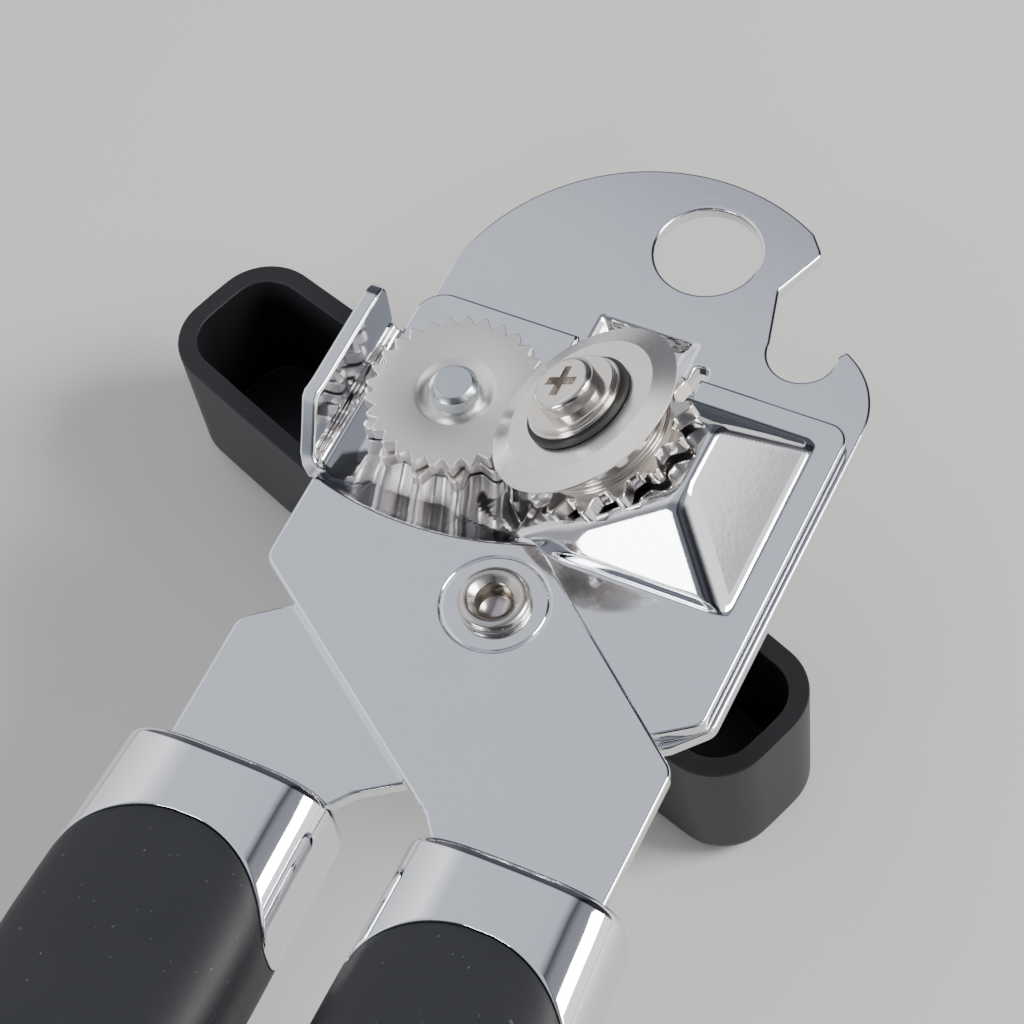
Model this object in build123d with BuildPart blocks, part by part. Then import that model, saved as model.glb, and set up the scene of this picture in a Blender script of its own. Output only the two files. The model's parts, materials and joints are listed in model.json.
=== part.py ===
"""Manual can opener with two plate frames, a geared feed wheel and a tilted cutting disc.

Millimetres, +Z up out of the front face. The origin is the centre of the hanging hole,
on the front face of the opener plate, +Y runs up the head and -Y down the handles.
Outlines of the head are drawn from the pivot rivet, which level() places.
"""
import os
from math import cos, degrees, radians, sin, tan

from build123d import *

os.makedirs("parts", exist_ok=True)

# ------------------------------------------------------------------ driving dimensions
sheet = 1.9  # thickness of the three stamped plates
slide_gap = 0.1  # gap between plates that slide on each other
shaft_fit = 0.05  # radial running fit of every shaft and rivet
hole_to_pivot = 55.5  # hanging hole down to the pivot rivet
pivot_x = -0.7  # the rivet sits a little left of the hanging hole
hanging_hole_r = 6.35

# frames, seen from the front and measured from the pivot
frame_half = 26.8  # centre line to the outer edge of the feed plate
cutter_half = 27.0  # centre line to the outer edge of the cutter plate
opener_half = 27.8  # centre line to the outer edge of the opener plate
shoulder_low = -4.2  # where the outer edge of a head turns in to the neck
neck_low = -26.2  # where that slanting edge ends at the neck
neck_in = 6.5  # inner edge of a neck
neck_turn = 2.3  # how far the slanting edge passes the neck before it turns down
shoulder_top = -11.4  # where the outer edge of a neck turns in to the head
crossing_y = 8.4  # top of the slanting edges, above the pivot
corner_r = 2.5
shoulder_r = 2.2

# feed plate dish
dish_mid_y = 6.0
dish_end_y = 7.9
dish_wall = 1.4
dish_top = 37.5
dish_left = -27.3
dish_right = -7.6
floor_inner = -3.0  # right edge of the dish below the gear notch
notch_r = 12.6  # clearance arc round the cutter gear
flange_x = -30.0  # outside of the can guide flange
flange_low = 9.2
flange_high = 30.5
flange_rise = 11.0  # top of the flange above the opener plate
flange_slant = 3.6
flange_chamfer = 1.5
bend_r = 1.8  # outside of the flange bend
dish_corner_r = 3.5
flange_foot = 2.0  # height where the lower end of the flange starts to slant

# cutter plate
cutter_top = 37.2
cutter_left = -2.6
cutter_step_x = 8.0
cutter_step_y = 34.8
pivot_boss_r = 6.2
boss_right = 23.7  # foot of the raised seat
boss_low = 8.8
boss_high = 33.6
boss_draft = 35.7
lip_rise = 1.5
boss_clear_r = 9.0  # keeps the seat out of the feed plate's swing

# opener plate
head_r = 26.0
head_x = -1.5
head_y = 40.0
hook_r = 4.0
hook_x = 16.9
hook_y = 46.0
opener_low = 31.5
opener_left = -27.2
opener_inner = -7.8
pocket_x = -0.9
pocket_half = 7.1
pocket_top = 43.7
pocket_low = 32.5
pocket_depth = 1.6
pocket_draft = 38.0
opener_corner_y = 38.5  # top of the opener's straight outer edge
hook_bow = (26.3, 43.9)  # a place on the rounded outside of the bottle hook
hook_tip = (21.6, 48.2)
hook_tip_r = 0.4
hook_step = 1.2  # straight inner side of the hook tip
lip = (10.9, 53.4)  # where the bottle lip meets the hook's throat
crown_corner = (13.6, 60.0)
crown_corner_r = 1.2
crown_angle = 60.0
crown_side_y = 3.2  # how far the crown's arc ends above its own centre
opener_foot = ((-1.0, -13.0), (9.0, -17.8), (24.3, -7.2))  # slanting lower edge
opener_foot_y = -4.0
opener_shoulder_y = -3.4
slit_wide = 1.6
slit_tall = 3.4
slit_r = 0.7
slit_gap = 0.9  # from the pocket's side to the middle of the slit
slit_y = 38.2

# pivot rivet
pivot_r = 3.0
rivet_head_r = 4.3
rivet_head = 1.3
rivet_hollow_r = 2.1
rivet_hollow = 4.4
ring_r = 6.1
ring_width = 0.35
ring_depth = 0.25
pivot_washer_r = 6.5
pivot_washer = 0.8

# gears, one pair of equal wheels
gear_teeth = 14
gear_tip_r = 11.25
gear_root_r = 9.0
gear_tooth_root = 2.5  # tooth width at the root circle
gear_tooth_tip = 1.2  # tooth width at the tip circle
gear_thick = 1.9

# feed wheel on its shaft
feed_x = -15.8
feed_y = 22.5
wheel_teeth = 29
wheel_tip_r = 10.5
wheel_root_r = 9.35
wheel_thick = 1.9
wheel_tooth_root = 1.9  # tooth width at the root circle
wheel_tooth_tip = 0.25
wheel_phase = 83.0
wheel_dish_r = 4.0
wheel_dish = 0.6
gear_above_floor = 0.3
gear_boss = 0.4
gear_boss_r = 6.0
journal_r = 3.4
shaft_square = 3.9
shaft_head_r = 2.8
shaft_head = 1.7
shaft_head_chamfer = 0.6
bush_r = 4.8
bush_flange_r = 6.2
bush_flange = 1.0
thrust_r = 6.6
thrust = 1.0

# knob
knob_angle = -19.1
knob_long = 97.4
knob_end_wide = 19.1  # width across the ends, before their corners are rounded
knob_mid_wide = 21.5
knob_bulge = 0.4  # how far the ends bow out
knob_tall = 21.0
knob_rim_z = -18.0
knob_corner = 7.3
knob_wall = 2.4
knob_floor = 3.0
knob_draft = 1.5
knob_round = 3.5
hub_top_r = 7.0
hub_half = 9.0
knob_square = 6.0
knob_square_r = 0.6
knob_shaft_end = -25.0
knob_screw_r = 1.5
knob_screw_head_r = 3.2
knob_screw_head = 2.0
knob_counterbore = 3.4
knob_screw_reach = 8.0  # thread inside the shaft
knob_bore_spare = 1.0  # hole left beyond the thread
knob_cross_deep = 1.2
knob_head_gap = 0.3

# tilted cutter, distances along its axis are counted down from the top of the disc
cutter_tilt = 29.0
mesh_x = -6.1245  # how far the cutter gear reaches in between the feed gear's teeth
cutter_y = 21.9
cutter_z = 13.5
disc_r = 11.9
disc_thick = 1.0
disc_flat_r = 9.3
disc_bevel = 0.8
drum_r = 7.6
drum_flange_r = 8.2
drum_flange = 0.4
drum_tall = 4.6
drum_groove = 0.35
groove_downs = (1.2, 2.4)  # from the disc down to each groove
screw_spare = 0.4  # thread that shows past the nut
spigot_r = 4.4
screw_r = 3.0
thread_r = 2.4
screw_head_r = 3.75
screw_head = 2.0
screw_dome = 0.7
cross_long = 4.2
cross_wide = 1.1
cross_deep = 1.4
dark_washer_r = 6.5
dark_washer = 0.6
flat_washer_r = 5.9
flat_washer = 0.7
spring_washer_r = 5.5
spring_washer = 0.7
seat_washer_r = 5.8
seat_washer = 0.5
nut_flats = 7.0
nut_tall = 2.4

# handles
handle_x = 17.1  # centre line to the middle of a handle at its top
handle_splay = 1.6
handle_top = -30.0
handle_end = -144.5
handle_wide = 25.4
handle_thick = 16.8
handle_corner = 6.6
handle_shoulder = 27.3
handle_shoulder_y = -58.0
handle_waist = 26.4
handle_waist_y = -92.0
handle_swell = 29.0
handle_swell_y = -122.0
end_blend = 13.0
end_steps = 5
end_narrow = 0.45
end_thin = 0.55
collar_side = 22.0  # from the top of the collar to the middle of its arch
collar_front = 8.7  # length of the collar at the crown of its arch
arch_half = 14.2
collar_wall = 1.2
grip_wall = 2.4
core_end = -139.0
tang_wide = 15.0
tang_step = -35.0  # where a neck narrows to its tang, just inside the collar
tang_end = -118.0
pin_r = 1.6
pin_ys = (-74.0, -106.0)

# ------------------------------------------------------------------ derived places
feed_low_z = slide_gap
feed_mid_z = sheet + slide_gap
feed_top_z = feed_mid_z + sheet
gear_low_z = feed_mid_z + gear_above_floor
gear_top_z = gear_low_z + gear_thick
wheel_low_z = gear_top_z + gear_boss
wheel_top_z = wheel_low_z + wheel_thick
bush_low_z = feed_low_z - bush_flange
thrust_top_z = bush_low_z - slide_gap
hub_top_z = thrust_top_z - thrust
knob_base_z = knob_rim_z - knob_tall
knob_taper = knob_tall * tan(radians(knob_draft))
handle_z = feed_mid_z - slide_gap / 2
drum_low = disc_thick + drum_tall
cutter_x = mesh_x - drum_low * sin(radians(cutter_tilt)) + gear_tip_r * cos(radians(cutter_tilt))
gear_low = drum_low + gear_thick
seat_top = gear_low + slide_gap + seat_washer
seat_under = seat_top + sheet
gear_pitch = 360 / gear_teeth
tang_y = (tang_step + tang_end) / 2


def level(z):
    """A drawing plane at height z whose origin is on the pivot axis."""
    return Plane(origin=(pivot_x, -hole_to_pivot, z))


def along_cutter(down):
    """A plane square to the cutter axis, a distance down from the top of the disc."""
    tilt = radians(cutter_tilt)
    origin = (
        pivot_x + cutter_x + down * sin(tilt),
        cutter_y - hole_to_pivot,
        cutter_z - down * cos(tilt),
    )
    return Plane(origin=origin, x_dir=(cos(tilt), 0, sin(tilt)), z_dir=(-sin(tilt), 0, cos(tilt)))


def at_feed(z):
    """A plane on the feed wheel's axis."""
    return Plane(origin=(pivot_x + feed_x, feed_y - hole_to_pivot, z))


def at_knob(z):
    """A plane on the feed wheel's axis, turned along the knob."""
    turn = radians(knob_angle)
    origin = (pivot_x + feed_x, feed_y - hole_to_pivot, z)
    return Plane(origin=origin, x_dir=(cos(turn), sin(turn), 0), z_dir=(0, 0, 1))


def tooth_ring(teeth, root_r, tip_r, root_width, tip_width, first):
    """The closed outline of a toothed wheel with straight-flanked teeth."""
    points = []
    for index in range(teeth):
        middle = first + index * 360 / teeth
        root_half = degrees(root_width / root_r / 2)
        tip_half = degrees(tip_width / tip_r / 2)
        for radius, offset in (
            (root_r, -root_half),
            (tip_r, -tip_half),
            (tip_r, tip_half),
            (root_r, root_half),
        ):
            angle = radians(middle + offset)
            points.append((radius * cos(angle), radius * sin(angle)))
    return points


def handle_mid(side, y):
    """Where the middle of a splayed handle lies at height y, across from the pivot."""
    return side * (handle_x + (handle_top - y) * tan(radians(handle_splay))) - pivot_x


def upright_edge(part, x, y, z):
    """The upright edge of a part that stands nearest to a place measured from the pivot."""
    return part.edges().filter_by(Axis.Z).sort_by_distance((pivot_x + x, y - hole_to_pivot, z))[0]


# ------------------------------------------------------------------ opener plate
crown_start = (head_x + head_r * cos(radians(crown_angle)), head_y + head_r * sin(radians(crown_angle)))
crown_mid = (head_x + head_r * cos(radians(115)), head_y + head_r * sin(radians(115)))
crown_end = (opener_left, head_y + crown_side_y)

with BuildPart() as opener_plate:
    with BuildSketch(level(-sheet)):
        with BuildLine():
            Polyline((opener_left, opener_low), (opener_inner, opener_low), (opener_inner, opener_foot_y))
            Polyline((opener_inner, opener_foot_y), *opener_foot, (opener_half, opener_shoulder_y))
            Line((opener_half, opener_shoulder_y), (opener_half, opener_corner_y))
            ThreePointArc((opener_half, opener_corner_y), hook_bow, hook_tip)
            Line(hook_tip, (hook_x + hook_r, hook_y + hook_step))
            Line((hook_x + hook_r, hook_y + hook_step), (hook_x + hook_r, hook_y))
            ThreePointArc((hook_x + hook_r, hook_y), (hook_x, hook_y - hook_r), (hook_x - hook_r, hook_y))
            Polyline((hook_x - hook_r, hook_y), lip, crown_corner, crown_start)
            ThreePointArc(crown_start, crown_mid, crown_end)
            Line(crown_end, (opener_left, opener_low))
        make_face()
        with Locations((-pivot_x, hole_to_pivot)):
            Circle(hanging_hole_r, mode=Mode.SUBTRACT)
        Circle(pivot_r, mode=Mode.SUBTRACT)
    extrude(amount=sheet)
    pocket_y = (pocket_top + pocket_low) / 2
    pocket_tall = pocket_top - pocket_low
    with BuildSketch(level(-sheet)):
        with Locations((pocket_x, pocket_y)):
            Rectangle(2 * pocket_half, pocket_tall)
    extrude(amount=-pocket_depth, taper=pocket_draft)
    with BuildSketch(level(0)):
        with Locations((pocket_x, pocket_y)):
            Rectangle(2 * pocket_half - sheet, pocket_tall - sheet)
    extrude(amount=-pocket_depth, taper=pocket_draft, mode=Mode.SUBTRACT)
    with BuildSketch(level(-sheet)):
        with Locations((pocket_x + pocket_half + slit_gap, slit_y)):
            RectangleRounded(slit_wide, slit_tall, slit_r)
    extrude(amount=sheet, mode=Mode.SUBTRACT)
    for x, y, radius in (
        (*crown_corner, crown_corner_r),
        (*hook_tip, hook_tip_r),
        (opener_half, opener_shoulder_y, shoulder_r),
    ):
        fillet(upright_edge(opener_plate, x, y, -sheet / 2), radius)

# ------------------------------------------------------------------ cutter plate
slope = (crossing_y - shoulder_top) / (frame_half - 1)
join_x = -20.5
join_y = crossing_y - slope * (-join_x - 1)

boss_width = boss_right - cutter_left
boss_x = (boss_right + cutter_left) / 2
boss_y = (boss_high + boss_low) / 2
boss_tall = boss_high - boss_low
boss_rise = 11.0
boss_inset = sheet / cos(radians(boss_draft)) - sheet * tan(radians(boss_draft))

with BuildPart() as seat_form:
    with BuildSketch(level(sheet)):
        with Locations((boss_x, boss_y)):
            Rectangle(boss_width, boss_tall)
    extrude(amount=boss_rise, taper=boss_draft)
    with BuildSketch(level(sheet)):
        with Locations((boss_x - 0.4, boss_low + 0.8)):
            Rectangle(boss_width - 4, 1.6)
    extrude(amount=lip_rise)
    split(bisect_by=along_cutter(seat_top), keep=Keep.BOTTOM)
    with BuildSketch(level(sheet)):
        Circle(boss_clear_r)
    extrude(amount=boss_rise, mode=Mode.SUBTRACT)

with BuildPart() as seat_hollow:
    with BuildSketch(level(0)):
        with Locations((boss_x + 0.6, boss_y)):
            Rectangle(boss_width - 2 * boss_inset - 1.2, boss_tall - 2 * boss_inset)
    extrude(amount=boss_rise + sheet, taper=boss_draft)
    split(bisect_by=along_cutter(seat_under), keep=Keep.BOTTOM)

with BuildPart() as cutter_plate:
    with BuildSketch(level(0)):
        with BuildLine():
            Polyline(
                (-neck_in, tang_step),
                (-neck_in, neck_low - neck_turn - 0.4),
                (-neck_in + neck_turn - 0.2, neck_low),
                (cutter_half, shoulder_low),
                (cutter_half, cutter_top),
                (cutter_step_x, cutter_top),
                (cutter_step_x, cutter_step_y),
                (cutter_left, cutter_step_y),
                (cutter_left, 5.6),
            )
            ThreePointArc((cutter_left, 5.6), (-5.2, 3.4), (-pivot_boss_r, 0))
            Polyline(
                (-pivot_boss_r, 0),
                (-9.5, -3.8),
                (join_x, join_y),
                (-frame_half, shoulder_top),
                (-frame_half, tang_step),
                (-neck_in, tang_step),
            )
        make_face()
        with Locations((handle_mid(-1, tang_y), tang_y)):
            Rectangle(tang_wide, tang_step - tang_end)
        Circle(pivot_r, mode=Mode.SUBTRACT)
        with Locations(*[(handle_mid(-1, y), y) for y in pin_ys]):
            Circle(pin_r, mode=Mode.SUBTRACT)
    extrude(amount=sheet)
    for x, y, radius in (
        (cutter_half, cutter_top, corner_r),
        (cutter_half, shoulder_low, shoulder_r),
        (-frame_half, shoulder_top, corner_r),
    ):
        fillet(upright_edge(cutter_plate, x, y, sheet / 2), radius)
    add(seat_form.part)
    add(seat_hollow.part, mode=Mode.SUBTRACT)
    with BuildSketch(along_cutter(seat_top - 1)):
        Circle(thread_r)
    extrude(amount=-sheet - 2, mode=Mode.SUBTRACT)

# ------------------------------------------------------------------ feed plate
with BuildPart() as feed_plate:
    with BuildSketch(level(feed_mid_z)):
        with BuildLine():
            Polyline(
                (neck_in, tang_step),
                (neck_in, neck_low - neck_turn - 0.4),
                (neck_in - neck_turn + 0.2, neck_low),
                (-frame_half, shoulder_low),
                (-frame_half, dish_end_y),
            )
            ThreePointArc((-frame_half, dish_end_y), (-13.8, dish_mid_y), (-0.8, crossing_y))
            Polyline(
                (-0.8, crossing_y),
                (frame_half, shoulder_top),
                (frame_half, tang_step),
                (neck_in, tang_step),
            )
        make_face()
        with Locations((handle_mid(1, tang_y), tang_y)):
            Rectangle(tang_wide, tang_step - tang_end)
        with Locations(*[(handle_mid(1, y), y) for y in pin_ys]):
            Circle(pin_r, mode=Mode.SUBTRACT)
        Circle(pivot_r + shaft_fit, mode=Mode.SUBTRACT)
    extrude(amount=sheet)
    for x, y, radius in (
        (-frame_half, shoulder_low, shoulder_r),
        (frame_half, shoulder_top, corner_r),
    ):
        fillet(upright_edge(feed_plate, x, y, feed_mid_z + sheet / 2), radius)
    with BuildSketch(level(feed_top_z)):
        Circle(ring_r + ring_width / 2)
        Circle(ring_r - ring_width / 2, mode=Mode.SUBTRACT)
    extrude(amount=-ring_depth, mode=Mode.SUBTRACT)
    with BuildSketch(level(feed_low_z)):
        with BuildLine():
            ThreePointArc(
                (-frame_half, dish_end_y - dish_wall),
                (-13.8, dish_mid_y - dish_wall),
                (floor_inner, dish_end_y - dish_wall - 0.1),
            )
            Polyline(
                (floor_inner, dish_end_y - dish_wall - 0.1),
                (floor_inner, feed_y),
                (dish_right, feed_y),
                (dish_right, dish_top),
                (dish_left, dish_top),
                (dish_left, flange_high),
                (flange_x, flange_high),
                (flange_x, flange_low),
                (-frame_half, flange_low),
                (-frame_half, dish_end_y - dish_wall),
            )
        make_face()
        with Locations((cutter_x + 4.0, cutter_y)):
            Circle(notch_r, mode=Mode.SUBTRACT)
        with Locations((feed_x, feed_y)):
            Circle(bush_r, mode=Mode.SUBTRACT)
    extrude(amount=sheet)
    with BuildSketch(level(feed_low_z + sheet)):
        with BuildLine():
            ThreePointArc((-frame_half, dish_end_y), (-13.8, dish_mid_y), (-0.8, crossing_y))
            Line((-0.8, crossing_y), (floor_inner, dish_end_y - dish_wall - 0.1))
            ThreePointArc(
                (floor_inner, dish_end_y - dish_wall - 0.1),
                (-13.8, dish_mid_y - dish_wall),
                (-frame_half, dish_end_y - dish_wall),
            )
            Line((-frame_half, dish_end_y - dish_wall), (-frame_half, dish_end_y))
        make_face()
    extrude(amount=sheet)
    flange_face = Plane(origin=(pivot_x + flange_x, -hole_to_pivot, 0), x_dir=(0, 1, 0), z_dir=(1, 0, 0))
    with BuildSketch(flange_face):
        Polygon(
            (flange_low, feed_low_z),
            (flange_high, feed_low_z),
            (flange_high, flange_rise - flange_chamfer),
            (flange_high - flange_chamfer, flange_rise),
            (flange_low + flange_slant + 1, flange_rise),
            (flange_low + flange_slant, flange_rise - 1),
            (flange_low, flange_foot),
            align=None,
        )
    extrude(amount=sheet)
    fillet(upright_edge(feed_plate, dish_left, dish_top, feed_low_z + sheet / 2), dish_corner_r)
    bend_outside = feed_plate.edges().filter_by(Axis.Y).sort_by_distance(
        (pivot_x + flange_x, (flange_low + flange_high) / 2 - hole_to_pivot, feed_low_z)
    )
    fillet(bend_outside[0], bend_r)

# ------------------------------------------------------------------ pivot rivet and washer
pivot_top_z = feed_top_z + slide_gap
rivet_back_z = -sheet - pivot_washer

with BuildPart() as pivot_washer_part:
    with BuildSketch(level(rivet_back_z)):
        Circle(pivot_washer_r)
        Circle(pivot_r, mode=Mode.SUBTRACT)
    extrude(amount=pivot_washer)

with BuildPart() as pivot_rivet:
    with BuildSketch(Plane(origin=(pivot_x, -hole_to_pivot, 0), x_dir=(1, 0, 0), z_dir=(0, -1, 0))):
        with BuildLine():
            Line((0, rivet_back_z - rivet_head), (pivot_r + 0.6, rivet_back_z - rivet_head))
            ThreePointArc(
                (pivot_r + 0.6, rivet_back_z - rivet_head),
                (pivot_r + 1.5, rivet_back_z - rivet_head * 0.6),
                (pivot_r + 1.8, rivet_back_z),
            )
            Polyline((pivot_r + 1.8, rivet_back_z), (pivot_r, rivet_back_z), (pivot_r, pivot_top_z))
            Line((pivot_r, pivot_top_z), (rivet_head_r - 0.3, pivot_top_z))
            ThreePointArc(
                (rivet_head_r - 0.3, pivot_top_z),
                (rivet_head_r - 0.35, pivot_top_z + rivet_head * 0.85),
                (rivet_hollow_r + 0.9, pivot_top_z + rivet_head),
            )
            Polyline(
                (rivet_hollow_r + 0.9, pivot_top_z + rivet_head),
                (rivet_hollow_r, pivot_top_z + rivet_head - 0.7),
                (rivet_hollow_r, pivot_top_z + rivet_head - rivet_hollow + 1.2),
                (0, pivot_top_z + rivet_head - rivet_hollow),
                (0, rivet_back_z - rivet_head),
            )
        make_face()
    revolve(axis=Axis((pivot_x, -hole_to_pivot, 0), (0, 0, 1)))

# ------------------------------------------------------------------ feed wheel, gear and shaft
with BuildPart() as feed_wheel:
    with BuildSketch(at_feed(wheel_low_z)):
        Polygon(
            *tooth_ring(
                wheel_teeth, wheel_root_r, wheel_tip_r, wheel_tooth_root, wheel_tooth_tip, wheel_phase
            ),
            align=None,
        )
        Rectangle(shaft_square, shaft_square, mode=Mode.SUBTRACT)
    extrude(amount=wheel_thick)
    with BuildSketch(at_feed(wheel_top_z)):
        Circle(wheel_dish_r)
    extrude(amount=-wheel_dish, taper=45, mode=Mode.SUBTRACT)

with BuildPart() as feed_gear:
    with BuildSketch(at_feed(gear_low_z)):
        Polygon(
            *tooth_ring(
                gear_teeth, gear_root_r, gear_tip_r, gear_tooth_root, gear_tooth_tip, gear_pitch / 2
            ),
            align=None,
        )
    extrude(amount=gear_thick)
    with BuildSketch(at_feed(gear_top_z)):
        Circle(gear_boss_r)
    extrude(amount=gear_boss)
    with BuildSketch(at_feed(gear_low_z)):
        Rectangle(shaft_square, shaft_square)
    extrude(amount=gear_thick + gear_boss, mode=Mode.SUBTRACT)

with BuildPart() as drive_shaft:
    with BuildSketch(at_feed(thrust_top_z - thrust)):
        Circle(journal_r)
    extrude(amount=gear_low_z - thrust_top_z + thrust)
    with BuildSketch(at_feed(gear_low_z)):
        Rectangle(shaft_square, shaft_square)
    extrude(amount=wheel_top_z - wheel_dish - gear_low_z)
    with BuildSketch(at_feed(wheel_top_z - wheel_dish)):
        Circle(shaft_head_r)
    extrude(amount=wheel_dish + shaft_head)
    head_rim = drive_shaft.faces().sort_by(Axis.Z)[-1].edges()
    chamfer(head_rim, shaft_head_chamfer)
    with BuildSketch(at_knob(knob_shaft_end)):
        RectangleRounded(knob_square, knob_square, knob_square_r)
    extrude(amount=hub_top_z - knob_shaft_end)
    with BuildSketch(at_knob(knob_shaft_end)):
        Circle(knob_screw_r)
    extrude(amount=knob_screw_reach + knob_bore_spare, mode=Mode.SUBTRACT)

with BuildPart() as shaft_bushing:
    with BuildSketch(at_feed(bush_low_z)):
        Circle(bush_flange_r)
    extrude(amount=bush_flange)
    with BuildSketch(at_feed(feed_low_z)):
        Circle(bush_r)
    extrude(amount=sheet)
    with BuildSketch(at_feed(bush_low_z)):
        Circle(journal_r + shaft_fit)
    extrude(amount=sheet + bush_flange, mode=Mode.SUBTRACT)

with BuildPart() as thrust_washer:
    with BuildSketch(at_feed(hub_top_z)):
        Circle(thrust_r)
        Circle(journal_r, mode=Mode.SUBTRACT)
    extrude(amount=thrust)

# ------------------------------------------------------------------ knob
def knob_outline(shrink):
    """The bowed outline of the knob, or of what lies a wall of shrink inside it."""
    end_x = knob_long / 2 - knob_bulge - shrink
    end_y = knob_end_wide / 2 - shrink
    mid_y = knob_mid_wide / 2 - shrink
    with BuildSketch(mode=Mode.PRIVATE) as outline:
        with BuildLine():
            ThreePointArc((-end_x, end_y), (0, mid_y), (end_x, end_y))
            ThreePointArc((end_x, end_y), (end_x + knob_bulge, 0), (end_x, -end_y))
            ThreePointArc((end_x, -end_y), (0, -mid_y), (-end_x, -end_y))
            ThreePointArc((-end_x, -end_y), (-end_x - knob_bulge, 0), (-end_x, end_y))
        make_face()
        fillet(outline.vertices(), knob_corner - shrink)
    return outline.sketch


with BuildPart() as knob:
    with BuildSketch(at_knob(knob_rim_z)):
        add(knob_outline(0))
    with BuildSketch(at_knob(knob_base_z)):
        add(knob_outline(knob_taper))
    loft()
    fillet(knob.faces().sort_by(Axis.Z)[0].edges(), knob_round)
    with BuildSketch(at_knob(knob_rim_z)):
        add(knob_outline(knob_wall))
    with BuildSketch(at_knob(knob_base_z + knob_floor)):
        add(knob_outline(knob_wall + knob_taper))
    loft(mode=Mode.SUBTRACT)
    with BuildSketch(at_knob(knob_base_z + knob_floor / 2)):
        Circle(hub_half)
    extrude(amount=knob_tall - knob_floor / 2)
    with BuildSketch(at_knob(knob_rim_z)):
        Circle(hub_half)
    with BuildSketch(at_knob(hub_top_z)):
        Circle(hub_top_r)
    loft()
    with BuildSketch(at_knob(knob_shaft_end)):
        RectangleRounded(knob_square, knob_square, knob_square_r)
    extrude(amount=hub_top_z - knob_shaft_end, mode=Mode.SUBTRACT)
    with BuildSketch(at_knob(knob_base_z)):
        Circle(knob_screw_r)
    extrude(amount=knob_shaft_end - knob_base_z, mode=Mode.SUBTRACT)
    with BuildSketch(at_knob(knob_base_z)):
        Circle(knob_screw_head_r + knob_head_gap)
    extrude(amount=knob_counterbore, mode=Mode.SUBTRACT)

with BuildPart() as knob_screw:
    with BuildSketch(at_knob(knob_base_z + knob_counterbore - knob_screw_head)):
        Circle(knob_screw_head_r)
    extrude(amount=knob_screw_head)
    with BuildSketch(at_knob(knob_base_z + knob_counterbore)):
        Circle(knob_screw_r)
    extrude(amount=knob_shaft_end - knob_base_z - knob_counterbore + knob_screw_reach)
    with BuildSketch(at_knob(knob_base_z + knob_counterbore - knob_screw_head)):
        Rectangle(cross_long, cross_wide)
        Rectangle(cross_wide, cross_long)
    extrude(amount=knob_cross_deep, mode=Mode.SUBTRACT)

# ------------------------------------------------------------------ cutting disc, drum and gear
with BuildPart() as cutter_wheel:
    with BuildSketch(along_cutter(disc_thick)):
        Circle(disc_r)
        Circle(spigot_r, mode=Mode.SUBTRACT)
    extrude(amount=disc_thick)
    disc_rim = cutter_wheel.edges().filter_by(GeomType.CIRCLE).group_by(SortBy.RADIUS)[-1]
    upper_rim = disc_rim.sort_by_distance(along_cutter(-20).origin)[0]
    chamfer(upper_rim, disc_bevel, disc_r - disc_flat_r)

with BuildPart() as cutter_drum:
    with BuildSketch(along_cutter(drum_low)):
        Circle(drum_r)
    extrude(amount=drum_tall)
    with BuildSketch(along_cutter(drum_low)):
        Circle(drum_flange_r)
    extrude(amount=drum_flange)
    with BuildSketch(along_cutter(gear_low)):
        Circle(spigot_r)
    extrude(amount=gear_low)
    for groove_down in groove_downs:
        with BuildSketch(along_cutter(disc_thick + groove_down + drum_groove)):
            Circle(drum_r)
            Circle(drum_r - drum_groove, mode=Mode.SUBTRACT)
        extrude(amount=drum_groove, mode=Mode.SUBTRACT)
    with BuildSketch(along_cutter(gear_low)):
        Circle(screw_r + shaft_fit)
    extrude(amount=gear_low, mode=Mode.SUBTRACT)

with BuildPart() as cutter_gear:
    with BuildSketch(along_cutter(gear_low)):
        Polygon(
            *tooth_ring(gear_teeth, gear_root_r, gear_tip_r, gear_tooth_root, gear_tooth_tip, 180),
            align=None,
        )
        Circle(spigot_r, mode=Mode.SUBTRACT)
    extrude(amount=gear_thick)

# ------------------------------------------------------------------ cutter screw and washers
dark_low = -slide_gap
flat_low = dark_low - dark_washer
spring_low = flat_low - flat_washer
head_low = spring_low - spring_washer
head_top = head_low - screw_head

washers = {}
for name, low, thick, radius in (
    ("cutter_spacer", dark_low, dark_washer, dark_washer_r),
    ("cutter_washer", flat_low, flat_washer, flat_washer_r),
    ("cutter_spring_washer", spring_low, spring_washer, spring_washer_r),
    ("seat_washer", seat_top, seat_washer, seat_washer_r),
):
    with BuildPart() as ring:
        with BuildSketch(along_cutter(low)):
            Circle(radius)
            Circle(screw_r, mode=Mode.SUBTRACT)
        extrude(amount=thick)
    washers[name] = ring

with BuildPart() as cutter_screw:
    with BuildSketch(along_cutter(seat_top)):
        Circle(screw_r)
    extrude(amount=seat_top - head_low)
    with BuildSketch(along_cutter(seat_under + nut_tall + screw_spare)):
        Circle(thread_r)
    extrude(amount=seat_under + nut_tall + screw_spare - seat_top)
    with BuildSketch(along_cutter(head_low)):
        Circle(screw_head_r)
    extrude(amount=screw_head)
    head_edges = cutter_screw.edges().filter_by(GeomType.CIRCLE)
    dome_edge = head_edges.sort_by_distance(along_cutter(head_top - 20).origin)[0]
    fillet(dome_edge, screw_dome)
    with BuildSketch(along_cutter(head_top)):
        Rectangle(cross_long, cross_wide)
        Rectangle(cross_wide, cross_long)
    extrude(amount=-cross_deep, mode=Mode.SUBTRACT)

with BuildPart() as cutter_nut:
    with BuildSketch(along_cutter(seat_under + nut_tall)):
        RegularPolygon(nut_flats / 2, 6, major_radius=False)
        Circle(thread_r, mode=Mode.SUBTRACT)
    extrude(amount=nut_tall)

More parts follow.
